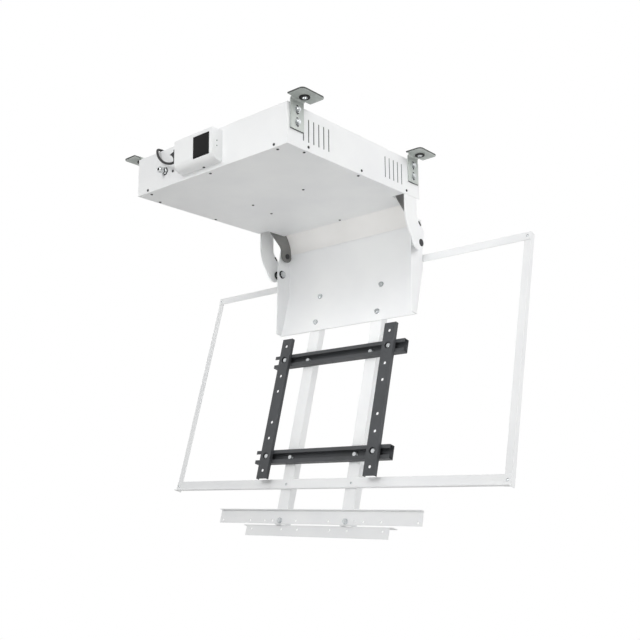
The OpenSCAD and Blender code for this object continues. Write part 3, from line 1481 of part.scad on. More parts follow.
// Load arms: channels, open to the rear, with the load's holes and a foot on each cross rail
module load_arms() {
  y0 = -cross_rail_d - load_arm_d;
  z0 = -load_drop - load_arm_l / 2;
  color("dimgray") on_carrier() both_sides() difference() {
    union() {
      difference() {
        block(load_pitch / 2 - load_arm_w / 2, y0, z0, load_arm_w, load_arm_d, load_arm_l);
        block(load_pitch / 2 - load_arm_w / 2 + rail_t, y0 + rail_t, z0 - cut, load_arm_w - 2 * rail_t,
          load_arm_d, load_arm_l + 2 * cut);
      }
      for (s = [-1, 1]) block(load_pitch / 2 - load_arm_w / 2, -cross_rail_d - rail_t,
        s * cross_rail_out - load_drop - load_foot_l / 2, load_arm_w, rail_t, load_foot_l);
    }
    for (s = [-1, 1]) {
      z = s * cross_rail_out - load_drop;
      hole_y(load_pitch / 2, -cross_rail_d - rail_t, z, bolt_d + 2 * hole_gap, rail_t);
      hole_y(load_pitch / 2, y0, z, access_hole_d, rail_t);
      for (row = load_rows) hole_y(load_pitch / 2, y0, s * row - load_drop, load_hole_d, rail_t);
    }
  }
}

// A bolt and its nut through a grip that starts at y and ends at the uprights' inner faces
module frame_bolt(x, y, z) {
  translate([x, y, z]) rotate([-90, 0, 0]) hex_bolt(rail_t - y + nut_h + pin_end);
  translate([x, rail_t, z]) rotate([-90, 0, 0]) flange_nut();
}

// Bolts, small screws and nuts of the carrier
module frame_bolts() {
  color("silver") on_carrier() both_sides() {
    for (d = neck_bolts) frame_bolt(upright_x, -neck_t, -d);
    for (z = [lower_hole_z, cross_rail_out - load_drop, -cross_rail_out - load_drop])
      frame_bolt(upright_x, -rail_t, z);
    for (x = [upright_x, strip_mid]) for (z = [rail_screw_z, frame_screw_z]) {
      translate([x, -rail_t, z]) rotate([-90, 0, 0]) sheet_screw(rail_screw_l);
      translate([x, rail_t, z]) rotate([-90, 0, 0]) clinch_nut();
    }
    for (x = top_screws) {
      translate([x, top_screw_y, top_rail_rise]) rotate([180, 0, 0]) sheet_screw(rail_screw_l);
      translate([x, top_screw_y, carrier_top]) rotate([180, 0, 0]) clinch_nut();
    }
    for (s = [-1, 1]) translate([load_pitch / 2, -cross_rail_d, s * cross_rail_out - load_drop]) {
      translate([0, -rail_t, 0]) rotate([-90, 0, 0]) hex_bolt(2 * rail_t + channel_nut_t + pin_end);
      difference() {
        block(-channel_nut_w / 2, rail_t, rail_t + turn_gap - cross_rail_h / 2, channel_nut_w,
          channel_nut_t, cross_rail_h - 2 * (rail_t + turn_gap));
        hole_y(0, rail_t, 0, bolt_d + 2 * run_gap, channel_nut_t);
      }
    }
  }
}

housing_shell();
bottom_cover();
sheet_screws();
clinch_nuts();
bracket_front_left();
bracket_front_right();
bracket_rear_left();
bracket_rear_right();
bracket_bolts();
bracket_nuts();
ceiling_bushes();
side_rails();
backing_plates();
rear_cross_beam();
middle_cross_beam();
arm_left();
arm_right();
hinge_bushes();
bearing_plates();
shaft_bearings();
gearbox_case();
gearbox_lid();
drive_screws();
motor_can();
motor_end_cap();
power_supply();
control_board();
board_posts();
receiver_board();
front_cover();
receiver_window();
status_lights();
cable_gland();
lead_connector();
sensor_lead();
inner_leads();
end_sensors();
drive_shaft();
cranks();
shaft_collars();
worm_wheel();
worm();
motor_rotor();
link_left();
link_right();
link_panel();
link_bushes();
neck();
hinge_bolts();
hinge_spacers();
link_pins();
top_rail();
side_strips();
uprights();
frame_rail();
lower_rail();
bottom_ledge();
cross_rails();
load_arms();
frame_bolts();
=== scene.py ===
"""Looks of a motorized flip-down ceiling mount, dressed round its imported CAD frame.

The mount's rigid pieces keep the frame's forms: each is copied, merged and given the small edge radius
that folded, cut or cast metal has. Screws, bolts, nuts, perforations and pins are spread by Geometry
Nodes. Leads, gland, lights, boards, supply, motor and bushes are modelled in more detail than their
solids.
"""

import json
import logging
import math
from collections.abc import Callable, Iterable, Sequence
from dataclasses import dataclass, field
from enum import StrEnum

import bmesh
import bpy
from bmesh.types import BMesh
from bpy.types import Material, Mesh, Node, NodeSocket, NodeTree, Object
from mathutils import Matrix, Vector
from mathutils.bvhtree import BVHTree


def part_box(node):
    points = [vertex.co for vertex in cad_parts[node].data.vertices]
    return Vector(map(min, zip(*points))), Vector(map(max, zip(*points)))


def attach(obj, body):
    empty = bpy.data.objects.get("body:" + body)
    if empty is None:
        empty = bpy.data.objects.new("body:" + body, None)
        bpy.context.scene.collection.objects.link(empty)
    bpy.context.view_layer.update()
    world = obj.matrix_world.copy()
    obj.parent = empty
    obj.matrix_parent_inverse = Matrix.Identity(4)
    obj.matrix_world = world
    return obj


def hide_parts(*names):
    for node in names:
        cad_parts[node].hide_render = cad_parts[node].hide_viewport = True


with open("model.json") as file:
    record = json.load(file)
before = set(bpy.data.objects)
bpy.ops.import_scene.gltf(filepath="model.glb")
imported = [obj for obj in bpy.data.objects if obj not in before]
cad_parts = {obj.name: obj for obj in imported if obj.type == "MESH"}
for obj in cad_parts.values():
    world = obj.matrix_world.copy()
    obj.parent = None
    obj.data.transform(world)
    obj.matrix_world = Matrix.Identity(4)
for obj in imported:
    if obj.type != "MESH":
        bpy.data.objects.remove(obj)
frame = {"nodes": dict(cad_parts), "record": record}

MM = 0.001
MICRON = 1e-6
LOG = logging.getLogger("ceiling_mount")
X, Y, Z = Vector((1, 0, 0)), Vector((0, 1, 0)), Vector((0, 0, 1))
HERE = Matrix.Identity(4)
# Points closer than this are one point, and heights closer than the next are one height
MERGE_DISTANCE = 0.004 * MM
SAME_HEIGHT = 1e-7
# Edges sharper than this are eased, and faces flatter than the next are joined
SHARP_ANGLE = math.radians(35)
FLAT_ANGLE = math.radians(0.6)
# How far rounding may grow a piece
BOX_SLACK = 0.1 * MM
# Name of the mesh attribute of the faces of sheared edges, which get painted shade
SHADED_EDGE = "sheared"
# Two measures, such as a point of a section, and three, such as a place in metres
Pair = tuple[float, float]
Place = tuple[float, float, float]
# Spans of a pattern's values over which a finish goes from one look to the other
TINT_SPAN, GLOSS_SPAN, CRYSTAL_SPAN = (0.35, 0.65), (0.3, 0.7), (0.1, 0.9)
# Specular level of an untreated surface, and the index of acrylic
PLAIN_SPECULAR = 0.5
ACRYLIC_INDEX = 1.49


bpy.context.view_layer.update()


class Body(StrEnum):
    """The frame's bodies."""

    HOUSING = "housing"
    SHAFT = "shaft"
    WORM = "worm_shaft"
    LINK = "link"
    CARRIER = "carrier"


def linear(code: str) -> tuple[float, float, float, float]:
    """Turn an sRGB hex colour into linear RGBA.

    Args:
        code: The colour, such as "#f0f1f2".

    Returns:
        Red, green, blue and a full alpha, linear.
    """
    parts = [int(code[i:i + 2], 16) / 255 for i in (1, 3, 5)]
    return (*[c / 12.92 if c <= 0.04045 else ((c + 0.055) / 1.055) ** 2.4 for c in parts], 1.0)


def socket_of(node: Node, key: str | int) -> NodeSocket:
    """Find a node's input by index, identifier or name.

    Args:
        node: The node.
        key: Index, identifier or name of the input.

    Returns:
        The input socket.
    """
    if isinstance(key, int):
        return node.inputs[key]
    return next(s for s in [*[s for s in node.inputs if s.identifier == key], *node.inputs]
                if key in (s.identifier, s.name))


def add_node(tree: NodeTree, kind: str, settings: dict | None = None, inputs: dict | None = None) -> Node:
    """Add a node with its settings, its constant inputs and its incoming links.

    Args:
        tree: The tree that gets the node.
        kind: The node's Blender type.
        settings: Values for its properties.
        inputs: For each input a constant, or the output socket that feeds it.

    Returns:
        The node.
    """
    node = tree.nodes.new(kind)
    for name, value in (settings or {}).items():
        setattr(node, name, value)
    for key, value in (inputs or {}).items():
        target = socket_of(node, key)
        if isinstance(value, NodeSocket):
            tree.links.new(value, target)
        else:
            target.default_value = value
    return node


@dataclass(frozen=True)
class Finish:
    """A surface as it was made: broad tint, fine relief and uneven gloss on one shader.

    Attributes:
        name: What the surface is.
        colour: Its main colour, sRGB hex.
        second: The colour that broad patches lean to, sRGB hex.
        roughness: Mean roughness.
        metallic: One for bare metal.
        patch_mm: Size of the broad patches.
        grain_mm: Size of the fine relief.
        grain_um: Height of the fine relief, in thousandths of a millimetre.
        uneven: How far roughness varies to each side.
        stretch: Scale of all patterns along X, Y and Z; below one draws them out.
        coat: Weight of a clear layer.
    """

    name: str
    colour: str
    second: str
    roughness: float
    metallic: float = 0.0
    patch_mm: float = 90.0
    grain_mm: float = 1.2
    grain_um: float = 15.0
    uneven: float = 0.05
    stretch: Place = (1.0, 1.0, 1.0)
    coat: float = 0.0

    def place(self, tree: NodeTree) -> NodeSocket:
        """Return the stretched place on the piece, in metres.

        Args:
            tree: The material's tree.

        Returns:
            The place's socket.
        """
        coords = add_node(tree, "ShaderNodeTexCoord")
        mapping = add_node(tree, "ShaderNodeMapping", inputs={"Vector": coords.outputs["Object"],
                                                              "Scale": self.stretch})
        return mapping.outputs["Vector"]

    def noise(self, tree: NodeTree, place: NodeSocket, size_mm: float, detail: float = 3.0) -> NodeSocket:
        """Return soft noise whose cells have a real size.

        Args:
            tree: The material's tree.
            place: Where on the piece.
            size_mm: Size of a cell.
            detail: How many finer layers it has.

        Returns:
            Values round one half.
        """
        texture = add_node(tree, "ShaderNodeTexNoise", inputs={"Vector": place, "Scale": 1 / (size_mm * MM),
                                                               "Detail": detail})
        return texture.outputs["Fac"]

    def spread(self, tree: NodeTree, value: NodeSocket, span: Pair, to: Pair) -> NodeSocket:
        """Map a value from one span to another, held at its ends."""
        mapped = add_node(tree, "ShaderNodeMapRange", inputs={
            "Value": value, "From Min": span[0], "From Max": span[1], "To Min": to[0], "To Max": to[1]})
        return mapped.outputs["Result"]

    def vary(self, tree: NodeTree, value: NodeSocket, span: Pair) -> NodeSocket:
        """Return a roughness that follows a value over its span."""
        return self.spread(tree, value, span, (self.roughness - self.uneven, self.roughness + self.uneven))

    def blend(self, tree: NodeTree, share: NodeSocket, a: object, b: object) -> NodeSocket:
        """Mix two colours by a share; each is a socket or linear RGBA."""
        mix = add_node(tree, "ShaderNodeMix", {"data_type": "RGBA"}, {"Factor_Float": share, "A_Color": a,
                                                                      "B_Color": b})
        return next(s for s in mix.outputs if s.identifier == "Result_Color")

    def tint(self, tree: NodeTree, place: NodeSocket) -> NodeSocket:
        """Return the surface's colour."""
        share = self.spread(tree, self.noise(tree, place, self.patch_mm), TINT_SPAN, (0.0, 1.0))
        return self.blend(tree, share, linear(self.colour), linear(self.second))

    def relief(self, tree: NodeTree, place: NodeSocket) -> NodeSocket:
        """Return the height of the fine relief, from none to full."""
        return self.noise(tree, place, self.grain_mm, detail=2.0)

    def gloss(self, tree: NodeTree, place: NodeSocket) -> NodeSocket:
        """Return the uneven roughness, in patches a quarter as large as the tint's."""
        return self.vary(tree, self.noise(tree, place, self.patch_mm / 4, detail=4.0), GLOSS_SPAN)

    def material(self) -> Material:
        """Make the material, once for each name.

        Returns:
            The material.
        """
        made = bpy.data.materials.get(self.name)
        if made:
            return made
        made = bpy.data.materials.new(self.name)
        made.use_nodes = True
        tree = made.node_tree
        shader = tree.nodes["Principled BSDF"]
        place = self.place(tree)
        bump = add_node(tree, "ShaderNodeBump", inputs={"Height": self.relief(tree, place), "Strength": 1.0,
                                                        "Distance": self.grain_um * MICRON})
        tree.links.new(self.tint(tree, place), shader.inputs["Base Color"])
        tree.links.new(self.gloss(tree, place), shader.inputs["Roughness"])
        tree.links.new(bump.outputs["Normal"], shader.inputs["Normal"])
        shader.inputs["Metallic"].default_value = self.metallic
        shader.inputs["Coat Weight"].default_value = self.coat
        self.adjust(shader)
        made.diffuse_color = linear(self.colour)
        return made

    def adjust(self, shader: Node) -> None:
        """Set what only some surfaces have."""


@dataclass(frozen=True)
class ZincCoat(Finish):
    """Zinc on rolled sheet: faint crystal patches that each catch the light a little differently.

    Attributes:
        crystal_mm: Size of one crystal patch.
    """

    crystal_mm: float = 9.0

    def gloss(self, tree: NodeTree, place: NodeSocket) -> NodeSocket:
        """Return a roughness that steps from crystal to crystal.

        Args:
            tree: The material's tree.
            place: Where on the piece.

        Returns:
            The roughness's socket.
        """
        cells = add_node(tree, "ShaderNodeTexVoronoi", inputs={"Vector": place,
                                                               "Scale": 1 / (self.crystal_mm * MM)})
        grey = add_node(tree, "ShaderNodeRGBToBW", inputs={"Color": cells.outputs["Color"]})
        return self.vary(tree, grey.outputs["Val"], CRYSTAL_SPAN)


@dataclass(frozen=True)
class ShearedSheet(ZincCoat):
    """Plated thick sheet whose sheared edges are coloured dark: painted shade along the edges.

    Attributes:
        edge: Colour of the painted shade on a sheared edge, sRGB hex.
    """

    # Painted shade: the dark colour given to the sheared edges
    edge: str = "#3b3e3c"

    def tint(self, tree: NodeTree, place: NodeSocket) -> NodeSocket:
        """Return the plating's colour, and the painted shade where the mesh marks a face of a sheared edge.
        """
        # Painted shade on the faces that the mesh marks as sheared edges
        marked = add_node(tree, "ShaderNodeAttribute", {"attribute_name": SHADED_EDGE})
        return self.blend(tree, marked.outputs["Fac"], super().tint(tree, place), linear(self.edge))


@dataclass(frozen=True)
class BoardMask(Finish):
    """Green solder mask over copper: paler tracks that run in steps, under a clear gloss.

    Attributes:
        cell_mm: Size of one cell of the pattern, which holds four rows.
        track_share: Width of a track as a share of a cell.
        track: Colour over copper, sRGB hex.
        step: How far a row is shifted, as a share of a brick.
        step_rows: Every how many rows.
    """

    cell_mm: float = 20.8
    track_share: float = 0.03
    track: str = "#2f6b45"
    step: float = 0.37
    step_rows: int = 3

    def tint(self, tree: NodeTree, place: NodeSocket) -> NodeSocket:
        """Return mask green with paler tracks."""
        bricks = add_node(tree, "ShaderNodeTexBrick",
                          {"offset": self.step, "offset_frequency": self.step_rows},
                          {"Vector": place, "Scale": 1 / (self.cell_mm * MM),
                           "Mortar Size": self.track_share, "Mortar": linear(self.track),
                           "Color1": linear(self.colour), "Color2": linear(self.second)})
        return bricks.outputs["Color"]


@dataclass(frozen=True)
class ClearLens(Finish):
    """Tinted clear plastic that lets light through.

    Attributes:
        clear: Weight of what passes.
    """

    clear: float = 0.5

    def adjust(self, shader: Node) -> None:
        """Let light pass at the index of acrylic."""
        shader.inputs["Transmission Weight"].default_value = self.clear
        shader.inputs["IOR"].default_value = ACRYLIC_INDEX


@dataclass(frozen=True)
class SmokedPane(Finish):
    """Nearly black acrylic whose face is treated against glare.

    Attributes:
        glare: Share of the usual reflection that is left.
    """

    glare: float = 0.3

    def adjust(self, shader: Node) -> None:
        """Hold the mirrored light down."""
        shader.inputs["Specular IOR Level"].default_value = PLAIN_SPECULAR * self.glare


class Finishes:
    """Every finish of the mount, and in SLOTS the one of each of the record's slots."""

    # Sprayed and baked polyester powder: near-white, low gloss, a faint orange peel of about a millimetre
    WHITE = Finish("white powder coat", "#f1f2f2", "#ecedee", 0.42, patch_mm=160, grain_mm=1.4, grain_um=14)
    # The same coat, a trace warmer, on the panel between the links
    WARM_GREY = Finish("warm grey powder coat", "#efeeec", "#eae9e7", 0.45, patch_mm=140, grain_mm=1.4,
                       grain_um=14)
    # Dull grey of the two drive links, darker than everything round them: painted shade for the shade
    # between the panel and the arms
    LINK_GREY = Finish("grey link coat", "#7b7b79", "#727270", 0.5, patch_mm=70, grain_mm=1.2, grain_um=14)
    # Satin dark coat of the rails that carry the load
    DARK_GREY = Finish("dark grey powder coat", "#404245", "#3a3c3e", 0.5, patch_mm=110, grain_mm=1.2,
                       grain_um=16)
    # Hot-dip sheet: cool grey metal with crystal patches and faint rolling lines along X
    SHEET_ZINC = ZincCoat("zinc coated sheet", "#c6c9cb", "#b9bdc0", 0.38, 1.0, patch_mm=60, grain_mm=0.6,
                          grain_um=3, uneven=0.09, stretch=(0.4, 1.0, 1.0))
    # Thick plated bracket steel: matt and slightly green from pickling, with painted shade on its sheared
    # edges
    BRACKET_ZINC = ShearedSheet("plated bracket steel", "#c4c9c5", "#b3b9b5", 0.46, 0.15, patch_mm=35,
                                grain_mm=0.9, grain_um=6, uneven=0.08, crystal_mm=5)
    # Bright zinc on screws, bolts and pins: light, lively metal
    BRIGHT_ZINC = Finish("bright zinc plating", "#cfd2d3", "#c3c6c8", 0.27, 1.0, patch_mm=9, grain_mm=0.5,
                         grain_um=2, uneven=0.07)
    # Black oxide on small screws and on the link pins: nearly black, oiled, with a low sheen
    BLACKENED = Finish("black oxide steel", "#303133", "#28292b", 0.4, patch_mm=4, grain_mm=0.4, grain_um=3,
                       uneven=0.08)
    # Nickel on turned brass: mirror-like rings
    NICKEL = Finish("bright nickel plating", "#d6d8d8", "#c9cccd", 0.12, 1.0, patch_mm=12, grain_mm=0.4,
                    grain_um=1, uneven=0.04)
    # Moulded rubber: nearly black, dull, dusty in its pores
    RUBBER = Finish("moulded black rubber", "#1c1c1d", "#262626", 0.72, patch_mm=14, grain_mm=0.5,
                    grain_um=12, uneven=0.08)
    # Extruded PVC sheath: black with a soft sheen along its length
    SHEATH = Finish("black lead sheath", "#161617", "#1f1f20", 0.48, patch_mm=20, grain_mm=0.8, grain_um=8)
    # Spark-eroded ABS grain: dark and even
    BLACK_ABS = Finish("grained black ABS", "#1a1a1c", "#222224", 0.52, patch_mm=25, grain_mm=0.45,
                       grain_um=14)
    # Sintered bronze: dull, open-pored yellow-brown
    BEARING = Finish("sintered bearing bronze", "#9c7f52", "#8a6f47", 0.5, 1.0, patch_mm=8, grain_mm=0.3,
                     grain_um=8, uneven=0.08)
    # Hobbed bronze: brighter, with fine lines across the teeth
    WHEEL = Finish("machined wheel bronze", "#c79f5b", "#b68e4e", 0.3, 1.0, patch_mm=10, grain_mm=0.35,
                   grain_um=4, stretch=(1.0, 0.25, 1.0))
    # Die-cast aluminium: pale, rough skin with a slight mottle
    DIE_CAST = Finish("die-cast aluminium", "#a7aaac", "#989c9f", 0.5, 0.9, patch_mm=16, grain_mm=0.8,
                      grain_um=18, uneven=0.08)
    # Baked enamel on the motor: black with a clear gloss
    ENAMEL = Finish("black motor enamel", "#1b1c1e", "#232427", 0.32, patch_mm=40, grain_mm=2.0,
                    grain_um=12, coat=0.4)
    # Satin aluminium sheet of the supply, drawn along its length
    CASE = Finish("satin aluminium sheet", "#bfc2c4", "#b3b7ba", 0.36, 1.0, patch_mm=22, grain_mm=0.4,
                  grain_um=3, stretch=(0.08, 1.0, 1.0))
    # Painted shade: a dark sheet behind the vent slots for the shade inside the housing, with coarse relief
    GAUZE = Finish("dark dust gauze", "#3a3d40", "#323538", 0.75, patch_mm=12, grain_mm=0.7, grain_um=60)
    # Glossy solder mask over copper tracks
    MASK = BoardMask("green solder mask", "#14482b", "#123f26", 0.3, grain_mm=1.5, grain_um=10, coat=0.3)
    # Smoked acrylic pane: polished and nearly black
    PANE = SmokedPane("smoked acrylic", "#050506", "#08080a", 0.12, patch_mm=60, grain_mm=9, grain_um=3,
                      uneven=0.03)
    # Moulded lens, unlit: dusty green and glossy
    LENS = ClearLens("green lens", "#5f8a6c", "#547d61", 0.14, patch_mm=3, grain_mm=0.6, grain_um=3)
    # Moulded sensor housings: dark red
    RED = Finish("dark red sensor plastic", "#5b1d19", "#661f1a", 0.5, patch_mm=8, grain_mm=0.4,
                 grain_um=12)
    # Natural nylon of plug headers: milky white
    NYLON = Finish("natural nylon", "#e6e3d9", "#dcd8cc", 0.46, patch_mm=7, grain_mm=0.4, grain_um=10)
    # Tinned contacts and solder: soft bright metal
    TIN = Finish("tinned contact", "#cfcfca", "#c2c2bd", 0.34, 1.0, patch_mm=3, grain_mm=0.3, grain_um=3)
    # Shrunk sleeve of the capacitors: dark blue, satin
    SLEEVE = Finish("capacitor sleeve", "#1f2c45", "#1a2439", 0.4, patch_mm=9, grain_mm=0.5, grain_um=5)
    # Epoxy of chips and relays: charcoal, fine sandy grain
    EPOXY = Finish("moulded epoxy", "#27282a", "#303134", 0.58, patch_mm=6, grain_mm=0.25, grain_um=8)

    SLOTS = {
        "white_sheet": WHITE, "grey_sheet": WARM_GREY, "zinc_sheet": SHEET_ZINC,
        "bracket_steel": BRACKET_ZINC, "plated_steel": BRIGHT_ZINC, "bright_plating": NICKEL,
        "black_rubber": RUBBER, "black_plastic": BLACK_ABS, "bearing_bronze": BEARING,
        "wheel_bronze": WHEEL, "cast_aluminium": DIE_CAST, "motor_paint": ENAMEL, "supply_case": CASE,
        "board_green": MASK, "dark_window": PANE, "green_light": LENS, "sensor_red": RED,
        "dark_rail": DARK_GREY,
    }


RECORD = frame["record"]
NODE_BODY = {node: Body(name) for name, nodes in RECORD["behaviour"]["bodies"].items() for node in nodes}
NODE_SLOT = {part["node"]: part["material_slot"] for part in RECORD["subparts"]}


def hand_over(mesh: Mesh, name: str, finish: Finish, slot: str, nodes: Sequence[str] = (),
              body: Body = Body.HOUSING) -> Object:
    """Make a finished piece of a mesh that already lies in place.

    Args:
        mesh: The piece's mesh, in the row frame.
        name: The piece's name.
        finish: Its surface.
        slot: The record's slot; not used.
        nodes: The CAD nodes that it stands for.
        body: The body that it rides on.

    Returns:
        The piece.
    """
    mesh.materials.clear()
    mesh.materials.append(finish.material())
    piece = bpy.data.objects.new(name, mesh)
    bpy.context.scene.collection.objects.link(piece)
    weighted = piece.modifiers.new("Flat faces stay flat", "WEIGHTED_NORMAL")
    weighted.keep_sharp = True
    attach(piece, str(body))
    if nodes:
        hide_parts(*nodes)
    LOG.info("%s: %d faces on %s", name, len(mesh.polygons), str(body))
    return piece


def close_mesh(bm: BMesh, name: str) -> Mesh:
    """Turn a bmesh into a smooth-shaded mesh whose remaining sharp edges are marked.

    Args:
        bm: The shape, which is used up.
        name: The mesh's name.

    Returns:
        The mesh.
    """
    for face in bm.faces:
        face.smooth = True
    for edge in bm.edges:
        edge.smooth = not (edge.is_manifold and edge.calc_face_angle(0.0) > SHARP_ANGLE)
    mesh = bpy.data.meshes.new(name)
    bm.to_mesh(mesh)
    bm.free()
    return mesh


def box_of(points: Iterable[Vector]) -> tuple[list[float], list[float]]:
    """Return the lowest and highest corner of a set of points."""
    axes = list(zip(*points))
    return [min(axis) for axis in axes], [max(axis) for axis in axes]


def ease_edges(bm: BMesh, radius: float, segments: int = 2) -> BMesh:
    """Round every sharp edge of a closed shape.

    Args:
        bm: The shape, merged.
        radius: Width of the rounding.
        segments: Faces across it.

    Returns:
        The rounded shape, or the shape as it was if rounding would leave its box.
    """
    before = box_of(v.co for v in bm.verts)
    kept = bm.copy()
    sharp = [e for e in bm.edges if e.is_manifold and e.calc_face_angle(0.0) > SHARP_ANGLE]
    if sharp:
        bmesh.ops.bevel(bm, geom=sharp, offset=radius, offset_type="OFFSET", segments=segments, profile=0.5,
                        affect="EDGES", clamp_overlap=False, miter_outer="SHARP", miter_inner="SHARP")
    after = box_of(v.co for v in bm.verts)
    grown = max(max(before[0][i] - after[0][i], after[1][i] - before[1][i]) for i in range(3))
    if grown > BOX_SLACK:
        LOG.warning("edges stay sharp: rounding would grow the piece by %.2f mm", grown / MM)
        bm.free()
        return kept
    kept.free()
    return bm


def merged(node: str) -> BMesh:
    """Copy a CAD node's mesh with its doubles merged and its flat faces joined.

    Args:
        node: The node.

    Returns:
        The copy.
    """
    bm = bmesh.new()
    bm.from_mesh(frame["nodes"][node].data)
    bmesh.ops.remove_doubles(bm, verts=bm.verts, dist=MERGE_DISTANCE)
    bmesh.ops.dissolve_degenerate(bm, edges=bm.edges, dist=MERGE_DISTANCE)
    bmesh.ops.dissolve_limit(bm, angle_limit=FLAT_ANGLE, use_dissolve_boundaries=False, verts=bm.verts,
                             edges=bm.edges, delimit=set())
    return bm


def mark_sheared(bm: BMesh, thickness: float) -> None:
    """Mark the faces of a sheet part that don't have the sheet's other face right behind them: its sheared
    edges, which get painted shade.

    Args:
        bm: The part.
        thickness: Thickness of its sheet.
    """
    tree = BVHTree.FromBMesh(bm)
    layer = bm.faces.layers.float.new(SHADED_EDGE)
    skin, depth, inset = 0.01 * MM, 1.25 * thickness, 0.1
    for face in bm.faces:
        inward = -face.normal
        middle = face.calc_center_median()
        starts = [middle, *[v.co.lerp(middle, inset) for v in face.verts]]
        backed = any(tree.ray_cast(start + skin * inward, inward, depth)[0] is not None
                     for start in starts)
        face[layer] = 0.0 if backed else 1.0


def dress(node: str, radius_mm: float, finish: Finish | None = None, segments: int = 2,
          sheet_mm: float = 0.0) -> Object:
    """Show a CAD node as a merged copy with eased edges.

    Args:
        node: The node.
        radius_mm: Edge radius, in millimetres.
        finish: Its surface, or none for its slot's own.
        segments: Faces across an edge.
        sheet_mm: Thickness of the sheet, where its sheared edges get painted shade.

    Returns:
        The piece, which stands for the node.
    """
    slot = NODE_SLOT[node]
    bm = ease_edges(merged(node), radius_mm * MM, segments)
    if sheet_mm:
        mark_sheared(bm, sheet_mm * MM)
    return hand_over(close_mesh(bm, node), f"{node}_dressed", finish or Finishes.SLOTS[slot], slot, [node],
                     NODE_BODY[node])


def stand(at: Vector, along: Vector, aside: Vector | None = None) -> Matrix:
    """Return the place of a unit whose own Z points along a direction.

    Args:
        at: Where the unit's origin goes.
        along: Direction of its Z.
        aside: Direction that its X leans to, or none for any.

    Returns:
        The place as a matrix.
    """
    along = along.normalized()
    nearly_x = 0.9
    hint = aside if aside is not None else (X if abs(along.x) < nearly_x else Y)
    right = (hint - along * hint.dot(along)).normalized()
    turn = Matrix((right, along.cross(right), along)).transposed().to_4x4()
    return Matrix.Translation(at) @ turn


def arc(centre: Pair, radii: Pair, end: float, steps: int) -> list[Pair]:
    """Return points of an elliptical arc that starts on its first axis.

    Args:
        centre: Its centre.
        radii: Its radius along either axis; a negative one mirrors it.
        end: Angle of its last point.
        steps: Lines between its points.

    Returns:
        Its points, one more than the lines.
    """
    angles = [end * k / steps for k in range(steps + 1)]
    return [(centre[0] + radii[0] * math.cos(a), centre[1] + radii[1] * math.sin(a)) for a in angles]


@dataclass
class Shape:
    """A mesh in the making, from turned profiles, slabs and prisms."""

    verts: list[Vector] = field(default_factory=list)
    faces: list[tuple[int, ...]] = field(default_factory=list)

    def add(self, verts: Iterable[Vector], faces: Iterable[Sequence[int]]) -> "Shape":
        """Add points and the faces between them.

        Args:
            verts: The points.
            faces: The points of each face, counted from the first that is added.

        Returns:
            The shape.
        """
        start = len(self.verts)
        self.verts.extend(verts)
        self.faces.extend(tuple(start + i for i in face) for face in faces)
        return self

    def turn(self, profile: Sequence[Pair], place: Matrix = HERE, sides: int = 48,
             reach: Callable[[float, float], float] | None = None) -> "Shape":
        """Add a turned form.

        Args:
            profile: Points (radius, height) in metres. A radius of zero closes the form at its pole, and a
                profile that ends where it starts makes a ring.
            place: Where its axis stands.
            sides: Faces round the axis.
            reach: Factor on the radius by angle and height, for flutes and flats.

        Returns:
            The shape.
        """
        looped = profile[0] == profile[-1]
        points = list(profile[:-1] if looped else profile)
        verts, rings = [], []
        for radius, height in points:
            if radius == 0:
                rings.append([len(verts)] * sides)
                verts.append(place @ Vector((0, 0, height)))
                continue
            rings.append(list(range(len(verts), len(verts) + sides)))
            for k in range(sides):
                angle = math.tau * k / sides
                r = radius * (reach(angle, height) if reach else 1.0)
                verts.append(place @ Vector((r * math.cos(angle), r * math.sin(angle), height)))
        pairs = list(zip(rings, rings[1:])) + ([(rings[-1], rings[0])] if looped else [])
        faces = []
        for low, high in pairs:
            for k in range(sides):
                j = (k + 1) % sides
                face = [low[k], low[j], high[j], high[k]]
                faces.append([i for n, i in enumerate(face) if i not in face[:n]])
        for end in ((rings[0], rings[-1]) if not looped else ()):
            if end[0] != end[1]:
                faces.append(end)
        return self.add(verts, faces)

    def slab(self, low: Sequence[float], high: Sequence[float], place: Matrix = HERE) -> "Shape":
        """Add a block.

        Args:
            low: Its lowest corner, in metres.
            high: Its highest corner.
            place: Where its own axes stand.

        Returns:
            The shape.
        """
        verts = [place @ Vector((x, y, z)) for z in (low[2], high[2]) for y in (low[1], high[1])
                 for x in (low[0], high[0])]
        return self.add(verts, [(0, 2, 3, 1), (4, 5, 7, 6), (0, 1, 5, 4), (2, 6, 7, 3), (0, 4, 6, 2),
                                (1, 3, 7, 5)])

    def prism(self, base: Sequence[Vector], top: Sequence[Vector]) -> "Shape":
        """Add a prism.

        Args:
            base: Outline of its one end.
            top: Outline of its other end, point for point.

        Returns:
            The shape.
        """
        n = len(base)
        walls = [(k, (k + 1) % n, n + (k + 1) % n, n + k) for k in range(n)]
        return self.add([*base, *top], [range(n), range(2 * n - 1, n - 1, -1), *walls])

    def mesh(self, name: str, ease_mm: float = 0.0) -> Mesh:
        """Make the shape's mesh.

        Args:
            name: The mesh's name.
            ease_mm: Radius of its edges, in millimetres; zero leaves them sharp.

        Returns:
            The mesh.
        """
        bm = bmesh.new()
        made = [bm.verts.new(v) for v in self.verts]
        for face in self.faces:
            bm.faces.new([made[i] for i in face])
        bmesh.ops.recalc_face_normals(bm, faces=bm.faces)
        if ease_mm:
            bm = ease_edges(bm, ease_mm * MM)
        return close_mesh(bm, name)


def standing_block(name: str, size_mm: Place, ease_mm: float) -> Mesh:
    """Return a small block that stands on zero round its own Z.

    Args:
        name: The mesh's name.
        size_mm: Its size along X, Y and Z, in millimetres.
        ease_mm: Radius of its edges, in millimetres.

    Returns:
        The block's mesh.
    """
    x, y, z = (v * MM for v in size_mm)
    return Shape().slab((-x / 2, -y / 2, 0), (x / 2, y / 2, z)).mesh(name, ease_mm)


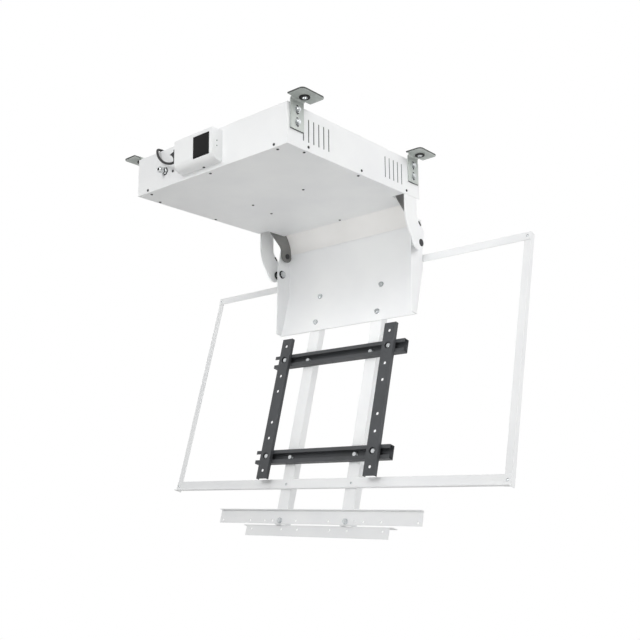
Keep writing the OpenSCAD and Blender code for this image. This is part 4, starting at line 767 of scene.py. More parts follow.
@dataclass(frozen=True)
class Island:
    """One loose solid of a CAD node, with the axis that it was turned about.

    Attributes:
        verts: Its points.
        axis: Direction from its thin end to its wide end.
        head: The middle of its wide end.
        corner: Direction from the axis to the outermost point of that end.
        length: Length along the axis.
        radius: Largest distance from the axis.
        head_radius: Largest distance from the axis at the wide end.
    """

    verts: list[Vector]
    axis: Vector
    head: Vector
    corner: Vector
    length: float
    radius: float
    head_radius: float


def axis_of(verts: list[Vector], choices: Sequence[Vector]) -> Vector:
    """Return the direction about which the points lie most evenly round.

    Args:
        verts: The points.
        choices: Directions to choose from.

    Returns:
        The direction whose two cross spreads differ least.
    """
    def unevenness(axis: Vector) -> float:
        """Return how far the points lie from round.

        Args:
            axis: Direction about which that is asked.

        Returns:
            The difference of their two widths, and what their corners stand out.
        """
        turn = stand(Vector(), axis).inverted()
        local = [turn @ v for v in verts]
        low, high = box_of(local)
        widths = [high[i] - low[i] for i in range(2)]
        middle = [(high[i] + low[i]) / 2 for i in range(2)]
        reach = max(math.hypot(p.x - middle[0], p.y - middle[1]) for p in local)
        return abs(widths[0] - widths[1]) + (reach - max(widths) / 2)

    return min(choices, key=unevenness)


def islands(node: str, choices: Sequence[Vector]) -> list[Island]:
    """Split a CAD node into its loose solids.

    Args:
        node: The node.
        choices: Directions that a solid's axis may have.

    Returns:
        Each solid with its axis and wide end.
    """
    bm = merged(node)
    found, seen = [], set()
    for start in bm.verts:
        if start.index in seen:
            continue
        group, queue = [], [start]
        seen.add(start.index)
        while queue:
            vert = queue.pop()
            group.append(vert.co.copy())
            for edge in vert.link_edges:
                other = edge.other_vert(vert)
                if other.index not in seen:
                    seen.add(other.index)
                    queue.append(other)
        found.append(measured(group, choices))
    bm.free()
    return found


def measured(verts: list[Vector], choices: Sequence[Vector]) -> Island:
    """Work out a loose solid's axis, wide end and radii.

    Args:
        verts: Its points.
        choices: Directions that its axis may have.

    Returns:
        The solid.
    """
    axis = axis_of(verts, choices)
    place = stand(Vector(), axis)
    turn = place.inverted()
    local = [turn @ v for v in verts]
    (x0, y0, low), (x1, y1, high) = box_of(local)
    middle = ((x1 + x0) / 2, (y1 + y0) / 2)
    reach = [(math.hypot(p.x - middle[0], p.y - middle[1]), p) for p in local]
    share, clearly = 0.2 * (high - low), 0.01 * MM
    at_low = max(r for r, p in reach if p.z < low + share)
    at_high = max(r for r, p in reach if p.z > high - share)
    flip = at_low > at_high + clearly
    end = low if flip else high
    tip = reach[max((r, i) for i, (r, p) in enumerate(reach) if abs(p.z - end) < share)[1]][1]
    corner = Vector((tip.x - middle[0], tip.y - middle[1], 0))
    return Island(verts, -axis if flip else axis, place @ Vector((*middle, end)), place.to_3x3() @ corner,
                  high - low, max(r for r, _ in reach), max(at_low, at_high))


class FormTree:
    """Geometry Nodes that make a form of a mesh, make it real and give it its finish."""

    def __init__(self, title: str, inputs: dict[str, str]) -> None:
        """Build the tree.

        Args:
            title: Its name.
            inputs: Socket type of each of its named inputs.
        """
        self.tree = bpy.data.node_groups.new(title, "GeometryNodeTree")
        kinds = {**inputs, "Finish": "NodeSocketMaterial"}
        made = {name: self.tree.interface.new_socket(name, in_out="INPUT", socket_type=kind)
                for name, kind in kinds.items()}
        self.tree.interface.new_socket("Mesh", in_out="OUTPUT", socket_type="NodeSocketGeometry")
        start = add_node(self.tree, "NodeGroupInput")
        real = add_node(self.tree, "GeometryNodeRealizeInstances", inputs={"Geometry": self.form(start)})
        done = add_node(self.tree, "GeometryNodeSetMaterial", inputs={
            "Geometry": real.outputs["Geometry"], "Material": start.outputs["Finish"]})
        add_node(self.tree, "NodeGroupOutput", inputs={0: done.outputs["Geometry"]})
        self.inputs = {name: socket.identifier for name, socket in made.items()}

    def form(self, start: Node) -> NodeSocket:
        """Add what makes the form, and return where it comes out."""
        raise NotImplementedError

    def run(self, base: Mesh, values: dict[str, object]) -> Mesh:
        """Make the form.

        Args:
            base: The mesh that it starts from.
            values: What the tree's other inputs get.

        Returns:
            The form as a plain mesh.
        """
        helper = bpy.data.objects.new(base.name, base)
        bpy.context.scene.collection.objects.link(helper)
        modifier = helper.modifiers.new("Form", "NODES")
        modifier.node_group = self.tree
        for name, value in values.items():
            modifier[self.inputs[name]] = value
        evaluated = helper.evaluated_get(bpy.context.evaluated_depsgraph_get())
        mesh = bpy.data.meshes.new_from_object(evaluated)
        bpy.data.objects.remove(helper)
        return mesh


class PointsTree(FormTree):
    """Geometry Nodes that set one unit on every point of a mesh."""

    def __init__(self) -> None:
        """Build the tree with its named inputs."""
        super().__init__("Set units on points", {
            "Points": "NodeSocketGeometry", "Unit": "NodeSocketObject", "Scale": "NodeSocketFloat"})

    def form(self, start: Node) -> NodeSocket:
        """Set the units, each turned as its point says.

        Args:
            start: The tree's inputs.

        Returns:
            Where the units come out.
        """
        points = add_node(self.tree, "GeometryNodeMeshToPoints", inputs={"Mesh": start.outputs["Points"]})
        unit = add_node(self.tree, "GeometryNodeObjectInfo", {"transform_space": "ORIGINAL"},
                        {"Object": start.outputs["Unit"]})
        turn = add_node(self.tree, "GeometryNodeInputNamedAttribute", {"data_type": "FLOAT_VECTOR"},
                        {"Name": "turn"})
        euler = add_node(self.tree, "FunctionNodeEulerToRotation",
                         inputs={"Euler": turn.outputs["Attribute"]})
        placed = add_node(self.tree, "GeometryNodeInstanceOnPoints", inputs={
            "Points": points.outputs[0], "Instance": unit.outputs["Geometry"],
            "Rotation": euler.outputs["Rotation"], "Scale": start.outputs["Scale"]})
        return placed.outputs["Instances"]

    def spread(self, name: str, unit: Mesh, places: Sequence[Matrix], finish: Finish, slot: str,
               nodes: Sequence[str] = (), body: Body = Body.HOUSING) -> Object:
        """Set a unit at every place and hand the result over as one piece.

        Args:
            name: The piece's name.
            unit: The unit's mesh, round its own origin.
            places: Where each unit goes.
            finish: Surface of the units.
            slot: The record's slot.
            nodes: CAD nodes that the piece stands for.
            body: The body that they ride on.

        Returns:
            The piece.
        """
        points = bpy.data.meshes.new(f"{name} places")
        points.from_pydata([p.translation for p in places], [], [])
        turns = points.attributes.new("turn", "FLOAT_VECTOR", "POINT")
        for item, place in zip(turns.data, places):
            item.vector = place.to_euler("XYZ")
        model = bpy.data.objects.new(f"{name} unit", unit)
        bpy.context.scene.collection.objects.link(model)
        mesh = self.run(points, {"Unit": model, "Scale": 1.0, "Finish": finish.material()})
        bpy.data.objects.remove(model)
        return hand_over(mesh, name, finish, slot, nodes, body)


class SweepTree(FormTree):
    """Geometry Nodes that sweep a round section along a line."""

    def __init__(self) -> None:
        """Build the tree with its named inputs."""
        super().__init__("Sweep a lead", {
            "Line": "NodeSocketGeometry", "Radius": "NodeSocketFloat", "Sides": "NodeSocketInt"})

    def form(self, start: Node) -> NodeSocket:
        """Sweep the closed tube.

        Args:
            start: The tree's inputs.

        Returns:
            Where the tube comes out.
        """
        line = add_node(self.tree, "GeometryNodeMeshToCurve", inputs={"Mesh": start.outputs["Line"]})
        section = add_node(self.tree, "GeometryNodeCurvePrimitiveCircle", inputs={
            "Resolution": start.outputs["Sides"], "Radius": start.outputs["Radius"]})
        swept = add_node(self.tree, "GeometryNodeCurveToMesh", inputs={
            "Curve": line.outputs["Curve"], "Profile Curve": section.outputs["Curve"], "Fill Caps": True})
        return swept.outputs["Mesh"]

    def sweep(self, path: Sequence[Vector], radius: float, sides: int, finish: Finish) -> Mesh:
        """Return a closed tube along a path.

        Args:
            path: Points of its middle line.
            radius: Its radius.
            sides: Faces round it.
            finish: Its surface.

        Returns:
            The tube as a plain mesh, faces outwards.
        """
        line = bpy.data.meshes.new("lead line")
        line.from_pydata(list(path), [(i, i + 1) for i in range(len(path) - 1)], [])
        bm = bmesh.new()
        bm.from_mesh(self.run(line, {"Radius": radius, "Sides": sides, "Finish": finish.material()}))
        bmesh.ops.remove_doubles(bm, verts=bm.verts, dist=MERGE_DISTANCE)
        bmesh.ops.recalc_face_normals(bm, faces=bm.faces)
        return close_mesh(bm, "lead")


POINTS = PointsTree()
SWEEP = SweepTree()


def smooth_path(points: Sequence[Sequence[float]], steps: int = 6) -> list[Vector]:
    """Return a smooth curve through points given in millimetres.

    Args:
        points: The route's points.
        steps: Pieces between two of them.

    Returns:
        Points of a Catmull-Rom curve, in metres.
    """
    route = [Vector(p) * MM for p in points]
    padded = [2 * route[0] - route[1], *route, 2 * route[-1] - route[-2]]
    path = []
    for a, b, c, d in zip(padded, padded[1:], padded[2:], padded[3:]):
        for k in range(steps):
            t = k / steps
            path.append(0.5 * (2 * b + (c - a) * t + (2 * a - 5 * b + 4 * c - d) * t ** 2
                               + (3 * b - a - 3 * c + d) * t ** 3))
    return [*path, route[-1]]


@dataclass(frozen=True)
class PanScrew:
    """A pan-head screw with a cross recess. Its seat is at zero and its head stands up.

    Attributes:
        head_r: Radius of the head.
        head_h: Height of the head.
        shank_r: Radius of the shank.
        shank_l: Length of the shank.
        sides: Points round each ring.
        rings: Radii of the head's rings, as shares of its own.
    """

    head_r: float = 3.7 * MM
    head_h: float = 2.2 * MM
    shank_r: float = 2.0 * MM
    shank_l: float = 9.0 * MM
    sides: int = 64
    rings: tuple[float, ...] = (0.07, 0.14, 0.2, 0.26, 0.34, 0.42, 0.48, 0.52, 0.62, 0.76, 0.9, 1.0)

    def top(self, x: float, y: float) -> float:
        """Return the height of the domed head, with its cross recess.

        Args:
            x: Place across the head.
            y: The same, the other way.

        Returns:
            The height over the seat.
        """
        # The dome's fall, then the recess: its reach, how that narrows outwards, half width and depth
        fall, wing, taper, arm, depth = 0.74, 0.54, 0.1, 0.115, 0.5
        r = math.hypot(x, y) / self.head_r
        dome = self.head_h * math.sqrt(max(0.0, 1 - fall * r * r))
        aside, along = (f(abs(x), abs(y)) / self.head_r for f in (min, max))
        return dome - (depth * self.head_h if aside < arm and along < wing - taper * r else 0.0)

    def mesh(self) -> Mesh:
        """Make the screw.

        Returns:
            The screw's mesh.
        """
        angles = [math.tau * (k + 0.5) / self.sides for k in range(self.sides)]
        verts = [Vector((0, 0, self.top(0, 0)))]
        for share in self.rings:
            r = share * self.head_r
            verts += [Vector((r * math.cos(a), r * math.sin(a), self.top(r * math.cos(a), r * math.sin(a))))
                      for a in angles]
        chamfer, rim_z, seat_r = 0.5 * MM, 0.12 * self.head_h, 0.96 * self.head_r
        for r, z in ((self.head_r, rim_z), (seat_r, 0.0), (self.shank_r, 0.0),
                     (self.shank_r, chamfer - self.shank_l), (self.shank_r - chamfer, -self.shank_l)):
            verts += [Vector((r * math.cos(a), r * math.sin(a), z)) for a in angles]
        starts = range(1, len(verts), self.sides)
        faces: list[Sequence[int]] = [(0, 1 + k, 1 + (k + 1) % self.sides) for k in range(self.sides)]
        for low, high in zip(starts, starts[1:]):
            faces += [(low + k, high + k, high + (k + 1) % self.sides, low + (k + 1) % self.sides)
                      for k in range(self.sides)]
        faces.append(range(starts[-1], starts[-1] + self.sides))
        return Shape().add(verts, faces).mesh("pan-head screw")


@dataclass(frozen=True)
class HexHead:
    """A chamfered hexagon with a washer face, for bolts and nuts. It stands on zero.

    Attributes:
        flats: Width across the flats.
        height: Height of the hexagon.
        bore: Radius of its bore, or zero for a bolt's head.
    """

    flats: float
    height: float
    bore: float = 0.0

    def add_to(self, shape: Shape, place: Matrix) -> Shape:
        """Add the hexagon to a shape.

        Args:
            shape: The shape.
            place: Where the hexagon stands.

        Returns:
            The shape.
        """
        a, h = self.flats / 2, self.height
        seat, drop, top, dish_top, dish_floor = (v * a for v in (0.94, 0.135, 0.93, 0.62, 0.56))
        lift, dish, rim = 0.25 * MM, 0.2 * MM, 0.5 * MM
        sixth = math.pi / 3

        def reach(angle: float, height: float) -> float:
            """Return the factor on the radius: round at the seat, the dish and the top, or six-sided."""
            if any(abs(height - level) < SAME_HEIGHT for level in (0.0, h - dish, h)):
                return 1.0
            return 1 / math.cos(angle % sixth - sixth / 2)

        profile = [(seat, 0.0), (a, lift), (a, h - drop), (top, h)]
        if self.bore:
            profile = [(self.bore, 0.0), *profile, (self.bore + rim, h), (self.bore, h - rim),
                       (self.bore, 0.0)]
        else:
            profile = [(0.0, 0.0), *profile, (dish_top, h), (dish_floor, h - dish), (0.0, h - dish)]
        return shape.turn(profile, place, reach=reach)


def ring_profile(inner: float, outer: float, low: float, high: float, ease: float) -> list[Pair]:
    """Return the section of a ring with eased rims.

    Args:
        inner: Bore radius.
        outer: Outer radius.
        low: Height of its lower face.
        high: Height of its upper face.
        ease: Width of the eased rims.

    Returns:
        A closed profile for Shape.turn.
    """
    return [(inner, low), (outer - ease, low), (outer, low + ease), (outer, high - ease),
            (outer - ease, high), (inner + ease, high), (inner, high - ease), (inner, low)]


def bolt_mesh(flats: float, head: float, washer_r: float, washer_t: float, shank_r: float,
              shank_l: float) -> Mesh:
    """Return a hex bolt with its washer; the washer sits on zero and the head stands up.

    Args:
        flats: Width across the flats.
        head: Height of the head.
        washer_r: Radius of the washer.
        washer_t: Thickness of the washer.
        shank_r: Radius of the shank.
        shank_l: Length of the shank below zero.

    Returns:
        The bolt's mesh.
    """
    shape = HexHead(flats, head).add_to(Shape(), Matrix.Translation((0, 0, washer_t)))
    shape.turn(ring_profile(shank_r, washer_r, 0.0, washer_t, 0.15 * MM))
    chamfer = 0.9 * MM
    shape.turn([(0.0, -shank_l), (shank_r - chamfer, -shank_l), (shank_r, chamfer - shank_l),
                (shank_r, washer_t), (0.0, washer_t)], sides=32)
    return shape.mesh("hex bolt")


class Kind(StrEnum):
    """What a loose solid of a node of fasteners is."""

    SCREW = "screw"
    BOLT = "bolt"
    NUT = "nut"
    OTHER = "other"


@dataclass
class Fasteners:
    """Screws, bolts and nuts set where the frame's own solids are, sized as those are."""

    screw_head_r: float = 3.7 * MM
    screw_head_h: float = 2.2 * MM
    flats: float = 13 * MM
    bolt_head: float = 5.3 * MM
    bolt_r: float = 4.0 * MM
    washer_r: float = 8.5 * MM
    washer_t: float = 1.6 * MM
    nut_h: float = 6.5 * MM
    lean: float = math.radians(15.4)

    def choices(self) -> list[Vector]:
        """Directions that a fastener's axis may have, upright and along the leaning carrier."""
        c, s = math.cos(self.lean), math.sin(self.lean)
        return [X, Y, Z, Vector((0, c, -s)), Vector((0, s, c))]

    def kind(self, solid: Island) -> Kind:
        """Name what a loose solid is, from its size.

        Args:
            solid: The solid.

        Returns:
            Its kind.
        """
        head_slack, washer_slack, least_screw, slimmest, thicker = (v * MM for v in (1.4, 0.3, 6, 4, 1))
        slim = solid.length > least_screw and solid.radius < slimmest
        if slim and abs(solid.head_radius - self.screw_head_r) < head_slack:
            return Kind.SCREW
        if abs(solid.radius - self.washer_r) < washer_slack:
            return Kind.BOLT if solid.length > self.nut_h + thicker else Kind.NUT
        return Kind.OTHER

    def unit(self, kind: Kind, length: float) -> tuple[Mesh, float]:
        """Return a fastener's mesh, and how far below its wide end its seat lies.

        Args:
            kind: What it is.
            length: Its whole length.

        Returns:
            The mesh and the depth of its seat.
        """
        if kind is Kind.SCREW:
            return PanScrew(shank_l=length - self.screw_head_h).mesh(), self.screw_head_h
        if kind is Kind.BOLT:
            seat = self.bolt_head + self.washer_t
            return bolt_mesh(self.flats, self.bolt_head, self.washer_r, self.washer_t, self.bolt_r,
                             length - seat), seat
        play, skirt = 0.1 * MM, 0.4 * self.flats
        shape = HexHead(self.flats, self.nut_h, self.bolt_r + play).add_to(Shape(), HERE)
        shape.turn(ring_profile(skirt, self.washer_r, 0.0, self.washer_t, 0.3 * MM))
        return shape.mesh("flange nut"), 0.0

    def set(self, node: str, finish: Finish = Finishes.BRIGHT_ZINC) -> None:
        """Replace a node of fasteners by detailed ones, and ease what is none.

        Args:
            node: The node.
            finish: Surface of its fasteners.
        """
        groups: dict[tuple[Kind, int], list[Island]] = {}
        rest: list[Island] = []
        for solid in islands(node, self.choices()):
            kind = self.kind(solid)
            if kind is Kind.OTHER:
                rest.append(solid)
            else:
                half_millimetres = round(solid.length / MM * 2)
                groups.setdefault((kind, half_millimetres), []).append(solid)
        for number, ((kind, _), solids) in enumerate(sorted(groups.items())):
            mesh, seat = self.unit(kind, solids[0].length)
            places = [stand(s.head - s.axis * seat, s.axis, s.corner) for s in solids]
            POINTS.spread(f"{node}_{kind}_{number + 1}", mesh, places, finish, NODE_SLOT[node], [node],
                          NODE_BODY[node])
        if rest:
            self.rest(node, rest)

    def rest(self, node: str, solids: list[Island]) -> None:
        """Keep the solids of a node that are no screw, bolt or nut.

        Args:
            node: The node.
            solids: What stays of it.
        """
        def key(place: Vector) -> tuple[float, ...]:
            """Return a place that can be looked up, to the micron."""
            return tuple(round(c / MM, 3) for c in place)

        bm = merged(node)
        keep = {key(v) for s in solids for v in s.verts}
        bmesh.ops.delete(bm, geom=[v for v in bm.verts if key(v.co) not in keep], context="VERTS")
        bm = ease_edges(bm, radius=0.25 * MM)
        hand_over(close_mesh(bm, node), f"{node}_plain", Finishes.BRIGHT_ZINC, NODE_SLOT[node], [node],
                  NODE_BODY[node])


@dataclass
class Housing:
    """Folded walls, bottom cover and what is fixed to them."""

    edge_mm: float = 0.4
    rail_edge_mm: float = 0.5
    grommet_at: Place = (-20 * MM, -281 * MM, -76 * MM)
    grommet_r: float = 7.9 * MM
    grommet_bore: float = 4.5 * MM
    clip_at: Place = (-202 * MM, -270 * MM, -16 * MM)
    gauze_x: Pair = (287.9 * MM, 288.4 * MM)
    gauze_y: tuple[Pair, ...] = ((-232 * MM, -117 * MM), (111 * MM, 203 * MM))
    gauze_z: Pair = (-106 * MM, -38.5 * MM)

    def build(self, fasteners: Fasteners) -> None:
        """Build the housing and its inner steelwork.

        Args:
            fasteners: What sets its screws and nuts.
        """
        # Painted shade behind the vent slots
        self.vent_gauze()
        for node in ("housing_shell", "bottom_cover"):
            dress(node, self.edge_mm)
        for node in ("side_rails", "backing_plates", "rear_cross_beam", "middle_cross_beam",
                     "bearing_plates"):
            dress(node, self.rail_edge_mm)
        fasteners.set("sheet_screws", Finishes.BLACKENED)
        fasteners.set("clinch_nuts")
        self.grommet()
        self.lead_clip()

    def vent_gauze(self) -> None:
        """Dark sheet behind the vent slots of both side walls: painted shade for the shade inside the
        housing.
        """
        shape = Shape()
        for side in (-1, 1):
            for y0, y1 in self.gauze_y:
                xs = sorted((side * self.gauze_x[0], side * self.gauze_x[1]))
                shape.slab((xs[0], y0, self.gauze_z[0]), (xs[1], y1, self.gauze_z[1]))
        hand_over(shape.mesh("gauze"), "vent_gauze", Finishes.GAUZE, "black_plastic")

    def grommet(self) -> None:
        """Rubber ring in the front wall's hole for the receiver lead."""
        r, bore, wall = self.grommet_r, self.grommet_bore, 1.5 * MM
        lip, reach = 2.2 * MM, 1.6 * MM
        profile = [(bore, -lip), (bore, wall + lip), (bore + reach, wall + lip),
                   (r + reach, wall + lip / 2), (r + reach, wall), (r, wall), (r, 0.0), (r + reach, 0.0),
                   (r + reach, -lip / 2), (bore + reach, -lip), (bore, -lip)]
        shape = Shape().turn(profile, stand(Vector(self.grommet_at) - Y * wall, Y), sides=40)
        hand_over(shape.mesh("grommet"), "cable_grommet", Finishes.RUBBER, "black_rubber")

    def lead_clip(self) -> None:
        """Saddle clip that holds the lead on the upper lip."""
        x, y, z = self.clip_at
        half, wall, r, foot, axis_z = (v * MM for v in (4, 1.2, 3.6, 9, -9))
        outer = [(x - foot, z), (x - foot, z + wall), (x - r - wall, z + wall),
                 *arc((x, axis_z), (-r - wall, r + wall), math.pi, 12),
                 (x + r + wall, z + wall), (x + foot, z + wall), (x + foot, z), (x + r, z)]
        outline = [*outer, *arc((x, axis_z), (r, r), math.pi, 12), (x - r, z)]
        ends = ([Vector((px, y + side * half, pz)) for px, pz in outline] for side in (-1, 1))
        hand_over(Shape().prism(*ends).mesh("clip"), "lead_clip", Finishes.BLACK_ABS, "black_plastic")


@dataclass
class CeilingBrackets:
    """Four slotted angles with their bolts and rubber bushes."""

    edge_mm: float = 0.7
    bore: float = 5.25 * MM
    neck: float = 8.5 * MM
    flange: float = 14 * MM
    flange_t: float = 3 * MM
    plate_t: float = 4 * MM
    hole_x: float = 318 * MM
    hole_y: float = 250 * MM

    def build(self, fasteners: Fasteners) -> None:
        """Build the brackets and what holds them.

        Args:
            fasteners: What sets their bolts and nuts.
        """
        for corner in ("front_left", "front_right", "rear_left", "rear_right"):
            dress(f"bracket_{corner}", self.edge_mm, segments=3, sheet_mm=self.plate_t / MM)
        fasteners.set("bracket_bolts")
        fasteners.set("bracket_nuts")
        self.bushes()

    def bushes(self) -> None:
        """Rubber bushes with a soft bead round flange and bore."""
        b, n, f, t, top = self.bore, self.neck, self.flange, self.flange_t, self.plate_t
        bead = 0.8 * MM
        profile = [(b, bead), (b + bead, 0.0), (b + 3 * bead, 0.2 * MM), (f - 2 * bead, 0.0),
                   (f - 0.3 * bead, 0.3 * bead), (f, bead), (f - 0.2 * bead, t - 0.3 * bead), (f - bead, t),
                   (n, t), (n, t + top - bead / 2), (n - bead / 2, t + top), (b + bead, t + top),
                   (b, t + top - bead), (b, bead)]
        places = [Matrix.Translation((sx * self.hole_x, sy * self.hole_y, -self.plate_t - self.flange_t))
                  for sx in (-1, 1) for sy in (-1, 1)]
        POINTS.spread("ceiling_bushes_moulded", Shape().turn(profile, sides=56).mesh("ceiling bush"),
                      places, Finishes.RUBBER, "black_rubber", ["ceiling_bushes"])
        rim, proud, inner, outer = b + 1.8 * MM, 0.5 * MM, b - 0.2 * MM, b + 0.1 * MM
        collar, end = 0.4 * MM, t + top - bead
        eyelet = [(inner, -proud + 0.2 * MM), (inner + 0.3 * MM, -proud), (rim - 0.4 * MM, -proud),
                  (rim, -0.3 * proud), (rim, collar), (outer, collar), (outer, end), (inner, end),
                  (inner, -proud + 0.2 * MM)]
        POINTS.spread("bush_eyelets", Shape().turn(eyelet).mesh("eyelet"), places, Finishes.BRIGHT_ZINC,
                      "plated_steel")


@dataclass
class FrontCover:
    """Cover on the front wall with its window, lights, gland and plug, and the board behind the window."""

    edge_mm: float = 0.5
    light_x: float = 59 * MM
    light_y: float = -301.5 * MM
    light_z: Pair = (-60 * MM, -74 * MM)
    light_r: float = 1.5 * MM
    light_out: float = 0.8 * MM
    gland_at: Place = (-172 * MM, -282.5 * MM, -80 * MM)
    hex_flats: float = 19 * MM
    hex_t: float = 6 * MM
    thread_r: float = 8 * MM
    neck_l: float = 3 * MM
    cap_r: float = 9 * MM
    cap_l: float = 8 * MM
    tip_r: float = 6 * MM
    tip_l: float = 7 * MM
    bore: float = 3.5 * MM
    nut_t: float = 5 * MM
    gasket_t: float = 1.2 * MM
    wall_t: float = 1.5 * MM
    flutes: int = 12
    flute_depth: float = 0.035
    plug_low: Place = (-104 * MM, -310.5 * MM, -84 * MM)
    plug_high: Place = (-92 * MM, -294.5 * MM, -44 * MM)
    boss_at: Place = (-108 * MM, -302.5 * MM, -76 * MM)
    fin: tuple[Pair, ...] = ((-103, -45), (-112, -47.5), (-125, -52), (-116, -57), (-111, -63),
                             (-108.5, -69), (-103, -70))
    fin_t: float = 8 * MM

    def build(self) -> None:
        """Build everything on the front wall."""
        dress("front_cover", self.edge_mm, segments=3)
        dress("receiver_window", radius_mm=0.3)
        self.lights()
        self.gland()
        self.gland_seal()
        self.plug()
        self.receiver()

    def lights(self) -> None:
        """Two domed lenses in the cover's right end."""
        r, out, inner = self.light_r, self.light_out, -2 * MM
        dome = arc((0.0, 0.25 * out), (r, 0.75 * out), math.pi / 2, 6)[:-1]
        unit = Shape().turn([(0.0, inner), (r, inner), *dome, (0.0, out)], sides=28).mesh("lens")
        places = [stand(Vector((self.light_x, self.light_y, z)), X) for z in self.light_z]
        POINTS.spread("status_lenses", unit, places, Finishes.LENS, "green_light", ["status_lights"])

    def gland(self) -> None:
        """Plated gland: hexagon on the wall, threaded neck, fluted dome nut, and the lock nut inside."""
        place = stand(Vector(self.gland_at), -Y)
        inner = self.bore + 1 * MM
        shape = HexHead(self.hex_flats, self.hex_t, inner).add_to(Shape(), place)
        pitch, root, ease, overlap = 1.5 * MM, 0.5 * MM, 0.6 * MM, 0.5 * MM
        r, start = self.thread_r, self.hex_t - overlap
        thread = [(r - (root if k % 2 else 0.0), start + k * pitch / 2) for k in range(6)]
        shape.turn([(inner, start), *thread, (inner, thread[-1][1]), (inner, start)], place, sides=40)
        low = self.hex_t + self.neck_l
        high = low + self.cap_l
        tip, lip = high + self.tip_l, self.bore + ease
        dome = arc((self.tip_r, high), (self.cap_r - self.tip_r, 0.94 * self.tip_l), math.pi / 2, 7)
        cap = [(inner + 1 * MM, low), (self.cap_r - ease, low), (self.cap_r, low + ease), *dome,
               (lip + 0.8 * MM, tip), (lip, tip - ease), (lip, high + 2 * MM), (inner + 1 * MM, high),
               (inner + 1 * MM, low)]

        def flute(angle: float, height: float) -> float:
            """Return the factor on the radius: shallow grip flutes round the straight part of the cap."""
            if not low + overlap < height < high + overlap:
                return 1.0
            return 1.0 - self.flute_depth * max(0.0, math.cos(self.flutes * angle)) ** 2

        shape.turn(cap, place, sides=144, reach=flute)
        shape.turn(ring_profile(inner, r, -self.wall_t - self.nut_t, 0.0, 0.3 * MM), place, sides=40)
        lock = stand(Vector(self.gland_at) + Y * (self.wall_t + self.nut_t), -Y)
        HexHead(self.hex_flats, self.nut_t, self.thread_r).add_to(shape, lock)
        hand_over(shape.mesh("gland"), "gland_plated", Finishes.NICKEL, "bright_plating", ["cable_gland"])

    def gland_seal(self) -> None:
        """Rubber insert in the dome nut with its open bore, ring in the neck, and gasket on the wall."""
        neck_end = self.hex_t + self.neck_l
        start = 0.5 * MM - self.wall_t - self.nut_t
        end = neck_end + self.cap_l + self.tip_l - 1.2 * MM
        inner, ease = self.bore + 1 * MM, 0.3 * MM
        shape = Shape()
        for profile in (ring_profile(self.bore, self.bore + 0.95 * MM, start, end, ease),
                        ring_profile(inner, self.thread_r + 0.4 * MM, self.hex_t, neck_end, 0.5 * MM),
                        ring_profile(inner, self.hex_flats / 2 + 2.2 * MM, 0.0, self.gasket_t, ease)):
            shape.turn(profile, stand(Vector(self.gland_at), -Y), sides=40)
        hand_over(shape.mesh("seal"), "gland_seal", Finishes.RUBBER, "black_rubber")

    def plug(self) -> None:
        """Plug on the cover's left end: ribbed grip, parting line, pull fin and a boss for the lead."""
        x0, y0, z0 = self.plug_low
        x1, y1, z1 = self.plug_high
        parting = (y0 + y1) / 2
        gap, inset, shell_x = 0.25 * MM, 0.6 * MM, x1 - 3 * MM
        shape = Shape().slab((x0 + 0.8 * MM, y0 + inset, z0 + inset), (x1, y1 - inset, z1 - inset))
        shape.slab((x0, y0, z0), (shell_x, parting - gap, z1))
        shape.slab((x0, parting + gap, z0), (shell_x, y1, z1))
        boss_r, boss_l, ease = 5 * MM, 4.5 * MM, 0.8 * MM
        shape.turn([(0.0, 0.0), (boss_r - ease, 0.0), (boss_r, ease), (boss_r, boss_l), (0.0, boss_l)],
                   stand(Vector(self.boss_at), X), sides=36)
        shape.prism(*([Vector((x * MM, parting + side * self.fin_t / 2, z * MM)) for x, z in self.fin]
                      for side in (-1, 1)))
        hand_over(shape.mesh("plug", ease_mm=0.45), "lead_plug", Finishes.BLACK_ABS, "black_plastic",
                  ["lead_connector"])
        rib_x, rib_z, rib_y = 0.5 * MM, 0.55 * MM, (y1 - y0) / 4 - 1 * MM
        rib = Shape().slab((-rib_x, -rib_y, -rib_z), (rib_x, rib_y, rib_z))
        first, pitch = z1 - 5 * MM, 2.4 * MM
        places = [Matrix.Translation((x0 + 0.3 * MM, (edge + parting) / 2, first - k * pitch))
                  for edge in (y0, y1) for k in range(6)]
        POINTS.spread("plug_ribs", rib.mesh("rib", ease_mm=0.2), places, Finishes.BLACK_ABS,
                      "black_plastic")

    def receiver(self) -> None:
        """Board behind the window with its domed eye and chips."""
        low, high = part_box("receiver_board")
        board_y = high.y - 1.6 * MM
        shape = Shape().slab((low.x, board_y, low.z), (high.x, high.y, high.z))
        hand_over(shape.mesh("board", ease_mm=0.25), "receiver_plate", Finishes.MASK, "board_green",
                  ["receiver_board"])
        eye_x, eye_z, r, sunk = 15 * MM, -66 * MM, 4 * MM, 0.2 * MM
        dome = arc((0.0, 3.2 * MM), (r, 2.8 * MM), math.pi / 2, 6)[:-1]
        eye = Shape().turn([(0.0, 0.0), (r, 0.0), *dome, (0.0, board_y - low.y + sunk)],
                           stand(Vector((eye_x, board_y + sunk, eye_z)), -Y), sides=32)
        hand_over(eye.mesh("eye"), "receiver_eye", Finishes.EPOXY, "board_green")
        chip_x, chip_y, chip_z, pitch = 2 * MM, 1.2 * MM, 1.3 * MM, 9 * MM
        chip = Shape().slab((-chip_x, -chip_y, -chip_z), (chip_x, sunk, chip_z)).mesh("chip", ease_mm=0.2)
        columns = [(i, low.x + 10 * MM + pitch * i) for i in range(7)]
        places = [Matrix.Translation((x, board_y, low.z + (9 + 16 * (i % 3)) * MM)) for i, x in columns
                  if abs(x - eye_x) > pitch]
        POINTS.spread("receiver_chips", chip, places, Finishes.EPOXY, "board_green")


